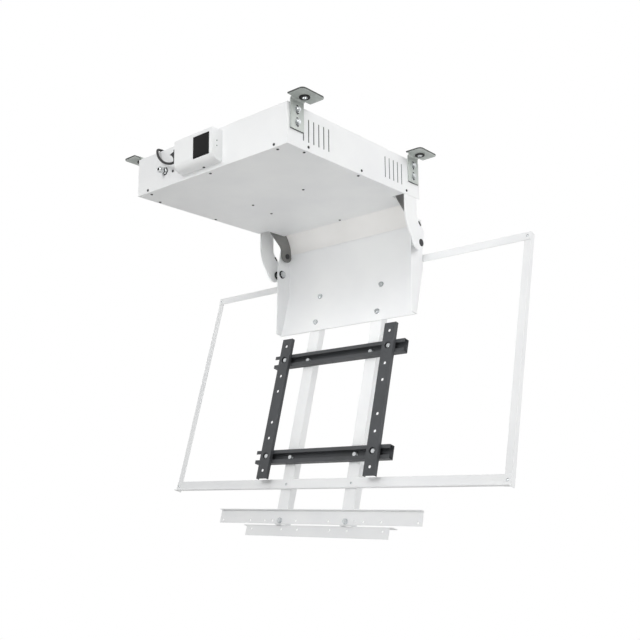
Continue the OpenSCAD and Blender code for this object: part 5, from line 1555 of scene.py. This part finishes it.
@dataclass
class DriveUnit:
    """Shaft, worm gear, gearbox and motor."""

    edge_mm: float = 0.5
    motor_y: Pair = (66.5 * MM, 171.5 * MM)
    motor_z: float = -66.5 * MM
    motor_r: float = 30 * MM
    cap_y: float = 61.5 * MM

    def build(self, fasteners: Fasteners) -> None:
        """Build the drive.

        Args:
            fasteners: What sets its screws.
        """
        for node in ("drive_shaft", "cranks", "shaft_collars", "gearbox_case", "gearbox_lid", "motor_can",
                     "motor_end_cap", "shaft_bearings"):
            dress(node, self.edge_mm)
        for node in ("worm_wheel", "worm", "motor_rotor"):
            dress(node, radius_mm=0.15)
        fasteners.set("drive_screws")
        self.motor_bands()
        self.cap_screws()
        self.terminals()

    def motor_bands(self) -> None:
        """Two rolled beads round the can."""
        shape = Shape()
        bead_r, sunk = 1.1 * MM, 0.4 * MM
        bead = arc((self.motor_r - sunk, 0.0), (bead_r, bead_r), math.tau, 12)[:-1]
        for y in (self.motor_y[0] + 7 * MM, self.motor_y[1] - 9 * MM):
            shape.turn([*bead, bead[0]], stand(Vector((0, y, self.motor_z)), Y), sides=72)
        hand_over(shape.mesh("bands"), "motor_beads", Finishes.ENAMEL, "motor_paint")

    def cap_screws(self) -> None:
        """Two long screws that hold the motor's end cap."""
        unit = PanScrew(head_r=2.6 * MM, head_h=1.5 * MM, shank_r=1.4 * MM, shank_l=3 * MM).mesh()
        places = [stand(Vector((20 * MM * side, self.cap_y + 0.1 * MM, self.motor_z)), -Y)
                  for side in (-1, 1)]
        POINTS.spread("motor_screws", unit, places, Finishes.BRIGHT_ZINC, "plated_steel")

    def terminals(self) -> None:
        """Two blade terminals beside the place where the motor's lead leaves."""
        shape = Shape()
        half, low, high = 1.6 * MM, -86.4 * MM, -85.6 * MM
        for x in (8 * MM, 16 * MM):
            shape.slab((x - half, self.cap_y - 0.2 * MM, low), (x + half, self.cap_y + 1 * MM, high))
        hand_over(shape.mesh("blades", ease_mm=0.1), "motor_blades", Finishes.TIN, "plated_steel")


@dataclass
class Electronics:
    """Control board, power supply, posts and end sensors."""

    board_low: Pair = (-120 * MM, -257 * MM)
    board_high: Pair = (20 * MM, -167 * MM)
    board_z: float = -116.5 * MM
    board_top: float = -114.9 * MM
    socket_top: float = -102.9 * MM
    can_top: float = -92.5 * MM
    supply_low: Place = (-215 * MM, 48 * MM, -124.5 * MM)
    supply_high: Place = (-69 * MM, 148 * MM, -84.5 * MM)
    step_x: float = -55 * MM
    step_z: float = -106.5 * MM

    def build(self) -> None:
        """Build boards and supply."""
        dress("board_posts", radius_mm=0.25)
        dress("end_sensors", radius_mm=0.4)
        self.board()
        self.headers()
        self.capacitors()
        self.relays()
        self.chips()
        self.supply()
        self.supply_holes()
        self.terminal_block()

    def board(self) -> None:
        """Board on its posts, with a screw in each corner."""
        (x0, y0), (x1, y1) = self.board_low, self.board_high
        shape = Shape().slab((x0, y0, self.board_z), (x1, y1, self.board_top))
        hand_over(shape.mesh("board", ease_mm=0.25), "control_plate", Finishes.MASK, "board_green",
                  ["control_board"])
        screw = PanScrew(head_r=2.8 * MM, head_h=1.6 * MM, shank_r=1.4 * MM, shank_l=3 * MM).mesh()
        inset = 6 * MM
        places = [Matrix.Translation((x, y, self.board_top)) for x in (x0 + inset, x1 - inset)
                  for y in (y0 + inset, y1 - inset)]
        POINTS.spread("board_screws", screw, places, Finishes.BRIGHT_ZINC, "plated_steel")

    def headers(self) -> None:
        """Open nylon headers where the leads plug in, and their pins."""
        wall, floor, sunk = 1.2 * MM, 2.4 * MM, 0.4 * MM
        boxes = [(-120, -244.5, -108, -228.5), (-8, -179, 8, -167), (-68, -179, -52, -167),
                 (-28, -253, -12, -241)]
        z0, z1 = self.board_top - sunk, self.socket_top
        shape, pins = Shape(), []
        for box in boxes:
            x0, y0, x1, y1 = (v * MM for v in box)
            shape.slab((x0, y0, z0), (x1, y1, z0 + floor))
            for low, high in (((x0, y0), (x1, y0 + wall)), ((x0, y1 - wall), (x1, y1)),
                              ((x0, y0), (x0 + wall, y1)), ((x1 - wall, y0), (x1, y1))):
                shape.slab((*low, z0), (*high, z1))
            pins += [Matrix.Translation((x0 + (x1 - x0) * i / 6, y0 + (y1 - y0) * j / 3, z0 + 2 * MM))
                     for i in range(1, 6) for j in (1, 2)]
        hand_over(shape.mesh("headers", ease_mm=0.15), "plug_headers", Finishes.NYLON, "board_green")
        pin = standing_block("pin", (0.64, 0.64, 6.5), ease_mm=0.1)
        POINTS.spread("header_pins", pin, pins, Finishes.TIN, "plated_steel")

    def capacitors(self) -> None:
        """Two sleeved capacitors with a bead, a waist and a scored top."""
        r, h = 8 * MM, self.can_top - self.board_top
        rim, floor = r - 1.2 * MM, h - 0.6 * MM
        sleeve = [(0.0, 0.0), (r - 0.5 * MM, 0.0), (r, 0.6 * MM), (r, 2.2 * MM), (r - 0.7 * MM, 3 * MM),
                  (r, 3.8 * MM), (r, h - 0.8 * MM), (r - 0.8 * MM, h - 0.1 * MM), (rim, h - 0.1 * MM),
                  (rim, floor), (0.0, floor)]
        places = [Matrix.Translation((x * MM, -195 * MM, self.board_top)) for x in (-92, -70)]
        POINTS.spread("capacitor_sleeves", Shape().turn(sleeve, sides=40).mesh("sleeve"), places,
                      Finishes.SLEEVE, "board_green")
        disc_r, disc_low, disc_high = r - 1.25 * MM, h - 0.7 * MM, h - 0.3 * MM
        top = Shape().turn([(0.0, disc_low), (disc_r, disc_low), (disc_r, disc_high), (0.0, disc_high)],
                           sides=40)
        score_l, score_w = 0.62 * r, 0.25 * MM
        for turn in range(2):
            top.slab((-score_l, -score_w, h - 0.35 * MM), (score_l, score_w, h - 0.16 * MM),
                     Matrix.Rotation(math.pi / 2 * turn, 4, "Z"))
        POINTS.spread("capacitor_tops", top.mesh("top"), places, Finishes.CASE, "board_green")

    def relays(self) -> None:
        """Two relays with slightly drawn-in tops."""
        shape = Shape()
        size, draw, y0 = 18 * MM, 0.5 * MM, -237 * MM
        z0, z1 = self.board_top - 0.2 * MM, self.socket_top
        for x in (-80 * MM, -56 * MM):
            shape.slab((x, y0, z0), (x + size, y0 + size, z1 - 2 * MM))
            shape.slab((x + draw, y0 + draw, z1 - 2.2 * MM), (x + size - draw, y0 + size - draw, z1))
        hand_over(shape.mesh("relays", ease_mm=0.5), "board_relays", Finishes.EPOXY, "board_green")

    def chips(self) -> None:
        """Chips with their legs, and rows of small parts in the free fields of the board."""
        chips = [(-30, -205, 14, 9), (-4, -212, 9, 9), (-97, -220, 12, 7), (-42, -188, 9, 6)]
        low, high, pitch, first, out = 0.1 * MM, 1.9 * MM, 1.27, 0.8, 0.5
        body, legs = Shape(), []
        for x, y, w, d in chips:
            body.slab(((x - w / 2) * MM, (y - d / 2) * MM, self.board_top + low),
                      ((x + w / 2) * MM, (y + d / 2) * MM, self.board_top + high))
            legs += [Matrix.Translation(((x - w / 2 + first + pitch * k) * MM,
                                         (y + side * (d / 2 + out)) * MM, self.board_top))
                     for k in range(int(w // pitch)) for side in (-1, 1)]
        hand_over(body.mesh("chips", ease_mm=0.2), "board_chips", Finishes.EPOXY, "board_green")
        leg = standing_block("leg", (0.44, 1.4, 0.5), ease_mm=0.08)
        POINTS.spread("chip_legs", leg, legs, Finishes.TIN, "plated_steel")
        part = standing_block("part", (2.0, 1.2, 0.7), ease_mm=0.12)
        fields = [(-112, -216, 4, 6), (-104, -183, 3, 3), (-46, -203, 2, 5), (-16, -228, 8, 4),
                  (-104, -252, 14, 2), (-32, -176, 5, 2)]
        across, down = 4.1, 3.1
        places = [Matrix.Translation(((x + across * i) * MM, (y + down * j) * MM, self.board_top))
                  for x, y, columns, rows in fields for i in range(columns) for j in range(rows)
                  if (i * 7 + j * 5 + columns) % 4]
        POINTS.spread("board_parts", part, places, Finishes.NYLON, "board_green")

    def supply(self) -> None:
        """Folded case of the supply: a tray with its lid's edges showing."""
        low, high = Vector(self.supply_low), Vector(self.supply_high)
        lid, tray, step = 1.2 * MM, 9 * MM, 0.8 * MM
        shape = Shape().slab(low + Vector((step, step, 0)), (high.x, high.y - step, high.z - lid))
        shape.slab((low.x, low.y, low.z + tray), (high.x - 1 * MM, high.y, high.z))
        hand_over(shape.mesh("case", ease_mm=0.5), "supply_case_folded", Finishes.CASE, "supply_case",
                  ["power_supply"])

    def supply_holes(self) -> None:
        """Pierced field in the supply's lid: each hole is a rim over a dark disc, painted shade for the
        hole's inside.
        """
        low, high = Vector(self.supply_low), Vector(self.supply_high)
        r, pitch, row_share, sunk = 1.9 * MM, 6.4 * MM, 0.97, 0.05 * MM
        section = [(r - 0.45 * MM, -sunk), (r, 0.0), (r + 0.35 * MM, -sunk), (r - 0.45 * MM, -sunk)]
        rim = Shape().turn(section, sides=12).mesh("rim")
        # Painted shade: a dark disc just under each rim for the shade inside the hole
        floor_r, floor_z = r - 0.4 * MM, -0.2 * MM
        floor = Shape().turn([(0.0, floor_z), (floor_r, floor_z), (floor_r, 0.0), (0.0, 0.0)],
                             sides=12).mesh("hole")
        columns = int((high.x - low.x - 24 * MM) / pitch)
        rows = int((high.y - low.y - 22 * MM) / pitch)
        places = [Matrix.Translation((low.x + 14 * MM + pitch * (i + 0.5 * (j % 2)),
                                      low.y + 12 * MM + pitch * row_share * j, high.z - 0.02 * MM))
                  for i in range(columns) for j in range(rows)]
        POINTS.spread("supply_hole_rims", rim, places, Finishes.CASE, "supply_case")
        POINTS.spread("supply_holes", floor, places, Finishes.EPOXY, "supply_case")

    def terminal_block(self) -> None:
        """Terminal step of the supply: base, dividers and clamp screws."""
        x0, x1 = self.supply_high[0] - 1 * MM, self.step_x
        y0, y1, z0 = self.supply_low[1], self.supply_high[1], self.supply_low[2]
        count, base_z, inset, half = 9, self.step_z - 5 * MM, 4 * MM, 0.7 * MM
        pitch = (y1 - y0 - 2 * inset) / count
        shape = Shape().slab((x0, y0 + 1 * MM, z0), (x1, y1 - 1 * MM, base_z))
        for k in range(count + 1):
            y = y0 + inset + pitch * k
            shape.slab((x0, y - half, base_z - 0.5 * MM), (x1, y + half, self.step_z))
        hand_over(shape.mesh("terminals", ease_mm=0.3), "terminal_block", Finishes.BLACK_ABS,
                  "black_plastic")
        screw = PanScrew(head_r=3.4 * MM, head_h=1.9 * MM, shank_r=1.6 * MM, shank_l=3 * MM).mesh()
        places = [Matrix.Translation(((x0 + x1) / 2 + 1 * MM, y0 + inset + pitch * (k + 0.5), base_z))
                  for k in range(count)]
        POINTS.spread("terminal_screws", screw, places, Finishes.BRIGHT_ZINC, "plated_steel")


@dataclass(frozen=True)
class Lead:
    """A lead on its given route.

    Attributes:
        name: The piece's name.
        points: Its route in millimetres, from its exit to where it goes in.
        radius: Its radius.
        finish: Its sheath.
    """

    name: str
    points: tuple[Place, ...]
    radius: float
    finish: Finish = Finishes.SHEATH


@dataclass
class Leads:
    """Lead over the front wall, and the leads inside."""

    sides: int = 20
    sensor: Lead = Lead("sensor_lead_sheath", (
        (-108, -302.5, -76), (-122, -302.5, -76), (-138, -303, -72), (-154, -303, -64), (-168, -302, -53),
        (-180, -300, -40), (-189, -297, -26), (-196, -291, -14), (-200, -281, -9), (-202, -270, -9),
        (-202, -260, -15), (-201, -253, -27), (-198, -249, -42), (-190, -247, -58), (-179, -245, -73),
        (-165, -242, -87), (-150, -239, -99), (-136, -236.5, -108), (-120, -236.5, -108)), 3.5 * MM)
    motor: Lead = Lead("motor_lead_sheath", (
        (12, 61.5, -86), (12, 49, -86), (12, 36, -88), (12, 23, -91), (12, 10, -93), (12, -3, -94),
        (12, -16, -94), (12, -29, -95), (11, -42, -97), (10, -55, -99), (8, -68, -102), (6, -81, -104),
        (4, -94, -106), (2, -107, -107), (1, -120, -108), (0, -133, -108), (0, -146, -108),
        (0, -167, -108)), 2.5 * MM)
    supply: Lead = Lead("supply_lead_sheath", (
        (-55, 90, -114), (-43, 90, -114), (-33, 84, -113), (-28, 73, -110), (-27, 60, -106), (-27, 34, -97),
        (-27, 21, -95), (-27, 8, -94), (-27, -5, -94), (-27, -18, -94), (-28, -31, -95), (-30, -44, -98),
        (-33, -57, -101), (-37, -70, -104), (-42, -83, -106), (-47, -96, -107), (-52, -109, -108),
        (-56, -122, -108), (-60, -148, -108), (-60, -167, -108)), 2.5 * MM)
    receiver: Lead = Lead("receiver_lead_sheath", (
        (-20, -303.4, -76), (-20, -299, -76), (-20, -294, -76), (-20, -288, -76), (-20, -282, -77),
        (-20, -276, -79), (-20, -270, -81.5), (-20, -264, -83.5), (-20, -258, -85), (-20, -253, -86.5),
        (-20, -250, -88.5), (-20, -248, -91), (-20, -247.3, -94), (-20, -247, -98),
        (-20, -247, -102.9)), 1.5 * MM)

    def build(self) -> None:
        """Build every lead."""
        self.lay(self.sensor, ["sensor_lead"])
        for lead in (self.motor, self.supply, self.receiver):
            self.lay(lead, ["inner_leads"])
        self.ties()

    def lay(self, lead: Lead, nodes: Sequence[str]) -> None:
        """Args:
            lead: The lead.
            nodes: CAD nodes that it stands for.
        """
        path = smooth_path(lead.points)
        mesh = SWEEP.sweep(path, lead.radius, self.sides, lead.finish)
        piece = hand_over(mesh, lead.name, lead.finish, "black_rubber", nodes)
        length = sum((b - a).length for a, b in zip(path, path[1:]))
        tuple(path[0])
        LOG.info("%s is %.0f mm long", lead.name, length / MM)

    def ties(self) -> None:
        """Nylon ties round two of the inner leads, each with its head."""
        shape = Shape()
        half, band, head, head_l = 1.3 * MM, 0.8 * MM, 2 * MM, 3 * MM
        for lead, index in ((self.motor, 4), (self.motor, 12), (self.supply, 7), (self.supply, 14)):
            before, at, after = (Vector(lead.points[i]) for i in (index - 1, index, index + 1))
            place = stand(at * MM, (after - before).normalized(), X)
            r = lead.radius
            shape.turn(ring_profile(r - 0.1 * MM, r + band, -half, half, 0.2 * MM), place, sides=28)
            shape.slab((r, -head, -head), (r + head_l, head, head), place)
        hand_over(shape.mesh("ties"), "lead_ties", Finishes.NYLON, "black_plastic")


@dataclass
class Linkage:
    """Arms, links, panel, bushes and slot inserts."""

    arm_edge_mm: float = 0.7
    link_edge_mm: float = 0.6
    bush_edge_mm: float = 0.4
    slot_at: Place = (286.1 * MM, 281.5 * MM, -197 * MM)
    slot_size: Place = (15.6 * MM, 4.6 * MM, 4.6 * MM)
    slot_lean: Pair = (0.6626, -0.749)
    lip_mm: float = 0.9

    def build(self) -> None:
        """Build what swings the carrier."""
        for node in ("arm_left", "arm_right"):
            dress(node, self.arm_edge_mm, segments=3)
        for node in ("link_left", "link_right"):
            # The links get a dark grey that is painted shade
            dress(node, self.link_edge_mm, Finishes.LINK_GREY)
        dress("link_panel", self.link_edge_mm)
        for node in ("hinge_bushes", "link_bushes"):
            dress(node, self.bush_edge_mm)
        self.slot_inserts()

    def slot_inserts(self) -> None:
        """Black plugs in the slanted slots of both arms, each with a thin lip on the outer face."""
        x, y, z = self.slot_at
        length, width, thick = self.slot_size
        lip = self.lip_mm * MM
        shape = Shape()
        for side in (-1, 1):
            place = stand(Vector((side * x, y, z)), X, Vector((0, *self.slot_lean)))
            face = side * thick / 2
            lip_ends = sorted((face, face + side * lip / 2))
            for grow, ends in ((0.0, (-thick / 2, thick / 2)), (lip, lip_ends)):
                half_l, half_w = length / 2 + grow, width / 2 + grow
                end = arc((half_l - half_w, 0.0), (half_w, half_w), math.pi / 2, 6)[::-1]
                outline = [*end, *[(u, -v) for u, v in reversed(end)], *[(-u, -v) for u, v in end],
                           *[(-u, v) for u, v in reversed(end)]]
                shape.prism(*([place @ Vector((u, v, h)) for u, v in outline] for h in ends))
        hand_over(shape.mesh("inserts"), "arm_slot_inserts", Finishes.BLACK_ABS, "black_plastic")


@dataclass
class NeckAndHinge:
    """Bent neck with its hinge bolts, spacers and lower link pins."""

    neck_edge_mm: float = 0.8
    pin_edge_mm: float = 0.5
    washer_at: Place = (262 * MM, 287.5 * MM, -253 * MM)
    washer_r: float = 13.2 * MM
    washer_bore: float = 9.7 * MM
    washer_t: float = 1.2 * MM

    def build(self) -> None:
        """Build the neck and its pins."""
        dress("neck", self.neck_edge_mm, segments=3)
        dress("hinge_bolts", self.pin_edge_mm, Finishes.NICKEL)
        dress("hinge_spacers", self.pin_edge_mm)
        dress("link_pins", self.pin_edge_mm, Finishes.BLACKENED)
        # Black washers beside the hinge bolt heads: painted shade, a dark ring for the shadow round the
        # heads
        section = ring_profile(self.washer_bore, self.washer_r, 0.0, self.washer_t, 0.3 * MM)
        x, y, z = self.washer_at
        shape = Shape()
        for side in (-1, 1):
            shape.turn(section, stand(Vector((side * x, y, z)), -side * X), sides=40)
        hand_over(shape.mesh("washers"), "hinge_washers", Finishes.BLACK_ABS, "plated_steel",
                  body=Body.CARRIER)


@dataclass
class Carrier:
    """Rails, uprights and load arms."""

    edge_mm: float = 0.5

    def build(self, fasteners: Fasteners) -> None:
        """Build the carrier.

        Args:
            fasteners: What sets its bolts.
        """
        for node in ("top_rail", "side_strips", "uprights", "frame_rail", "lower_rail", "bottom_ledge",
                     "cross_rails", "load_arms"):
            dress(node, self.edge_mm)
        fasteners.set("frame_bolts")


@dataclass(frozen=True)
class Lamp:
    """A round lamp.

    Attributes:
        name: What it does.
        at: Where it stands, in metres.
        aim: The point that it faces.
        size: Its diameter.
        power: Its power, in watts.
        beam: Opening of its beam, in degrees.
    """

    name: str
    at: Place
    aim: Place
    size: float
    power: float
    beam: float = 180.0

    def hang(self) -> None:
        """Add the lamp to the scene."""
        data = bpy.data.lights.new(self.name, "AREA")
        data.shape, data.size, data.energy = "DISK", self.size, self.power
        data.spread = math.radians(self.beam)
        lamp = bpy.data.objects.new(self.name, data)
        lamp.location = self.at
        lamp.rotation_euler = (Vector(self.aim) - Vector(self.at)).to_track_quat("-Z", "Y").to_euler()
        bpy.context.scene.collection.objects.link(lamp)


@dataclass
class Studio:
    """Camera, lamps, floor and background."""

    camera_at: Place = (1.63012836, -1.73291093, -0.9600116)
    yaw: float = math.radians(40.567881)
    pitch: float = math.radians(11.325789)
    roll: float = math.radians(-0.556241)
    lens_mm: float = 48.731
    sensor_mm: float = 36.0
    clip_end: float = 100.0
    floor_z: float = -3.2
    floor_r: float = 7.0
    floor_colour: str = "#d2d2d1"
    floor_roughness: float = 0.8
    fade: Pair = (0.25, 0.85)
    least_glow: float = 0.25
    fill: float = 0.62
    fill_below: float = 0.16
    fill_heights: Pair = (-0.7, 0.3)
    # The right side wall is brightest, then the front, then the underside and what hangs below it
    lamps: tuple[Lamp, ...] = (
        Lamp("right key", (4.6, 1.0, 1.9), (0.0, 0.15, -0.15), 3.8, 108.0),
        Lamp("front fill", (0.4, -3.2, 1.1), (0.0, 0.0, -0.15), 1.2, 38.0),
        Lamp("low front", (0.7, -1.4, -1.05), (0.1, 0.3, -0.36), 0.6, 1.0, 44),
        Lamp("underside", (1.5, 1.0, -1.9), (0.0, 0.15, -0.15), 1.6, 1.9))

    def build(self) -> None:
        """Set the stage."""
        self.camera()
        self.world()
        self.floor()
        for lamp in self.lamps:
            lamp.hang()
        bpy.context.scene.view_settings.view_transform = "Standard"

    def camera(self) -> None:
        """Stand the camera where the photograph was taken from."""
        data = bpy.data.cameras.new("camera")
        data.lens, data.sensor_width, data.clip_end = self.lens_mm, self.sensor_mm, self.clip_end
        camera = bpy.data.objects.new("camera", data)
        camera.matrix_world = (Matrix.Translation(self.camera_at) @ Matrix.Rotation(self.yaw, 4, "Z")
                               @ Matrix.Rotation(math.pi / 2 + self.pitch, 4, "X")
                               @ Matrix.Rotation(self.roll, 4, "Z"))
        bpy.context.scene.collection.objects.link(camera)
        bpy.context.scene.camera = camera

    def seen(self, tree: NodeTree) -> NodeSocket:
        """Tell rays that show the background, straight, mirrored or let through, from the others.

        Args:
            tree: The tree that asks.

        Returns:
            One for such a ray, and zero for any other.
        """
        path = add_node(tree, "ShaderNodeLightPath")
        both = add_node(tree, "ShaderNodeMath", {"operation": "MAXIMUM"}, {
            0: path.outputs["Is Glossy Ray"], 1: path.outputs["Is Transmission Ray"]})
        share = add_node(tree, "ShaderNodeMath", {"operation": "MAXIMUM"}, {
            0: path.outputs["Is Camera Ray"], 1: both.outputs[0]})
        return share.outputs[0]

    def world(self) -> None:
        """White background, and softer white light from all round."""
        world = bpy.data.worlds.new("studio")
        bpy.context.scene.world = world
        world.use_nodes = True
        tree = world.node_tree
        tree.nodes.clear()
        coords = add_node(tree, "ShaderNodeTexCoord")
        parts = add_node(tree, "ShaderNodeSeparateXYZ", inputs={"Vector": coords.outputs["Generated"]})
        low, high = self.fill_heights
        strength = add_node(tree, "ShaderNodeMapRange", {"interpolation_type": "SMOOTHSTEP"}, {
            "Value": parts.outputs["Z"], "From Min": low, "From Max": high, "To Min": self.fill_below,
            "To Max": self.fill})
        lit = add_node(tree, "ShaderNodeBackground", inputs={"Strength": strength.outputs["Result"]})
        shown = add_node(tree, "ShaderNodeBackground", inputs={"Strength": 1.0})
        for back in (lit, shown):
            back.inputs["Color"].default_value = (1, 1, 1, 1)
        mix = add_node(tree, "ShaderNodeMixShader", inputs={0: self.seen(tree), 1: lit.outputs[0],
                                                            2: shown.outputs[0]})
        add_node(tree, "ShaderNodeOutputWorld", inputs={"Surface": mix.outputs[0]})

    def floor(self) -> None:
        """Pale floor that fades to the background towards its rim."""
        disc = Shape().turn([(0.0, 0.0), (self.floor_r, 0.0)], Matrix.Translation((0, 0, self.floor_z)), 96)
        disc.faces = [f for f in disc.faces if len(f) == 3]
        material = bpy.data.materials.new("pale studio floor")
        material.use_nodes = True
        tree = material.node_tree
        shader = tree.nodes["Principled BSDF"]
        shader.inputs["Base Color"].default_value = linear(self.floor_colour)
        shader.inputs["Roughness"].default_value = self.floor_roughness
        coords = add_node(tree, "ShaderNodeTexCoord")
        flat = add_node(tree, "ShaderNodeVectorMath", {"operation": "MULTIPLY"}, {
            0: coords.outputs["Object"], 1: (1 / self.floor_r, 1 / self.floor_r, 0)})
        out = add_node(tree, "ShaderNodeVectorMath", {"operation": "LENGTH"}, {0: flat.outputs[0]})
        fade = add_node(tree, "ShaderNodeMapRange", {"interpolation_type": "SMOOTHSTEP"}, {
            "Value": out.outputs["Value"], "From Min": self.fade[0], "From Max": self.fade[1],
            "To Min": self.least_glow, "To Max": 1.0})
        share = add_node(tree, "ShaderNodeMath", {"operation": "MULTIPLY"}, {0: fade.outputs[0],
                                                                             1: self.seen(tree)})
        glow = add_node(tree, "ShaderNodeEmission", inputs={"Color": (1, 1, 1, 1), "Strength": 1.0})
        mix = add_node(tree, "ShaderNodeMixShader", inputs={0: share.outputs[0], 1: shader.outputs[0],
                                                            2: glow.outputs[0]})
        tree.links.new(mix.outputs[0], tree.nodes["Material Output"].inputs["Surface"])
        mesh = disc.mesh("floor")
        mesh.materials.append(material)
        floor = bpy.data.objects.new("floor", mesh)
        bpy.context.scene.collection.objects.link(floor)


def main() -> None:
    """Build every sub-assembly, then the stage."""
    logging.basicConfig(level=logging.INFO, format="%(name)s: %(message)s")
    fasteners = Fasteners()
    Housing().build(fasteners)
    CeilingBrackets().build(fasteners)
    FrontCover().build()
    DriveUnit().build(fasteners)
    Electronics().build()
    Leads().build()
    Linkage().build()
    NeckAndHinge().build()
    Carrier().build(fasteners)
    Studio().build()


if __name__ == "__main__":
    main()
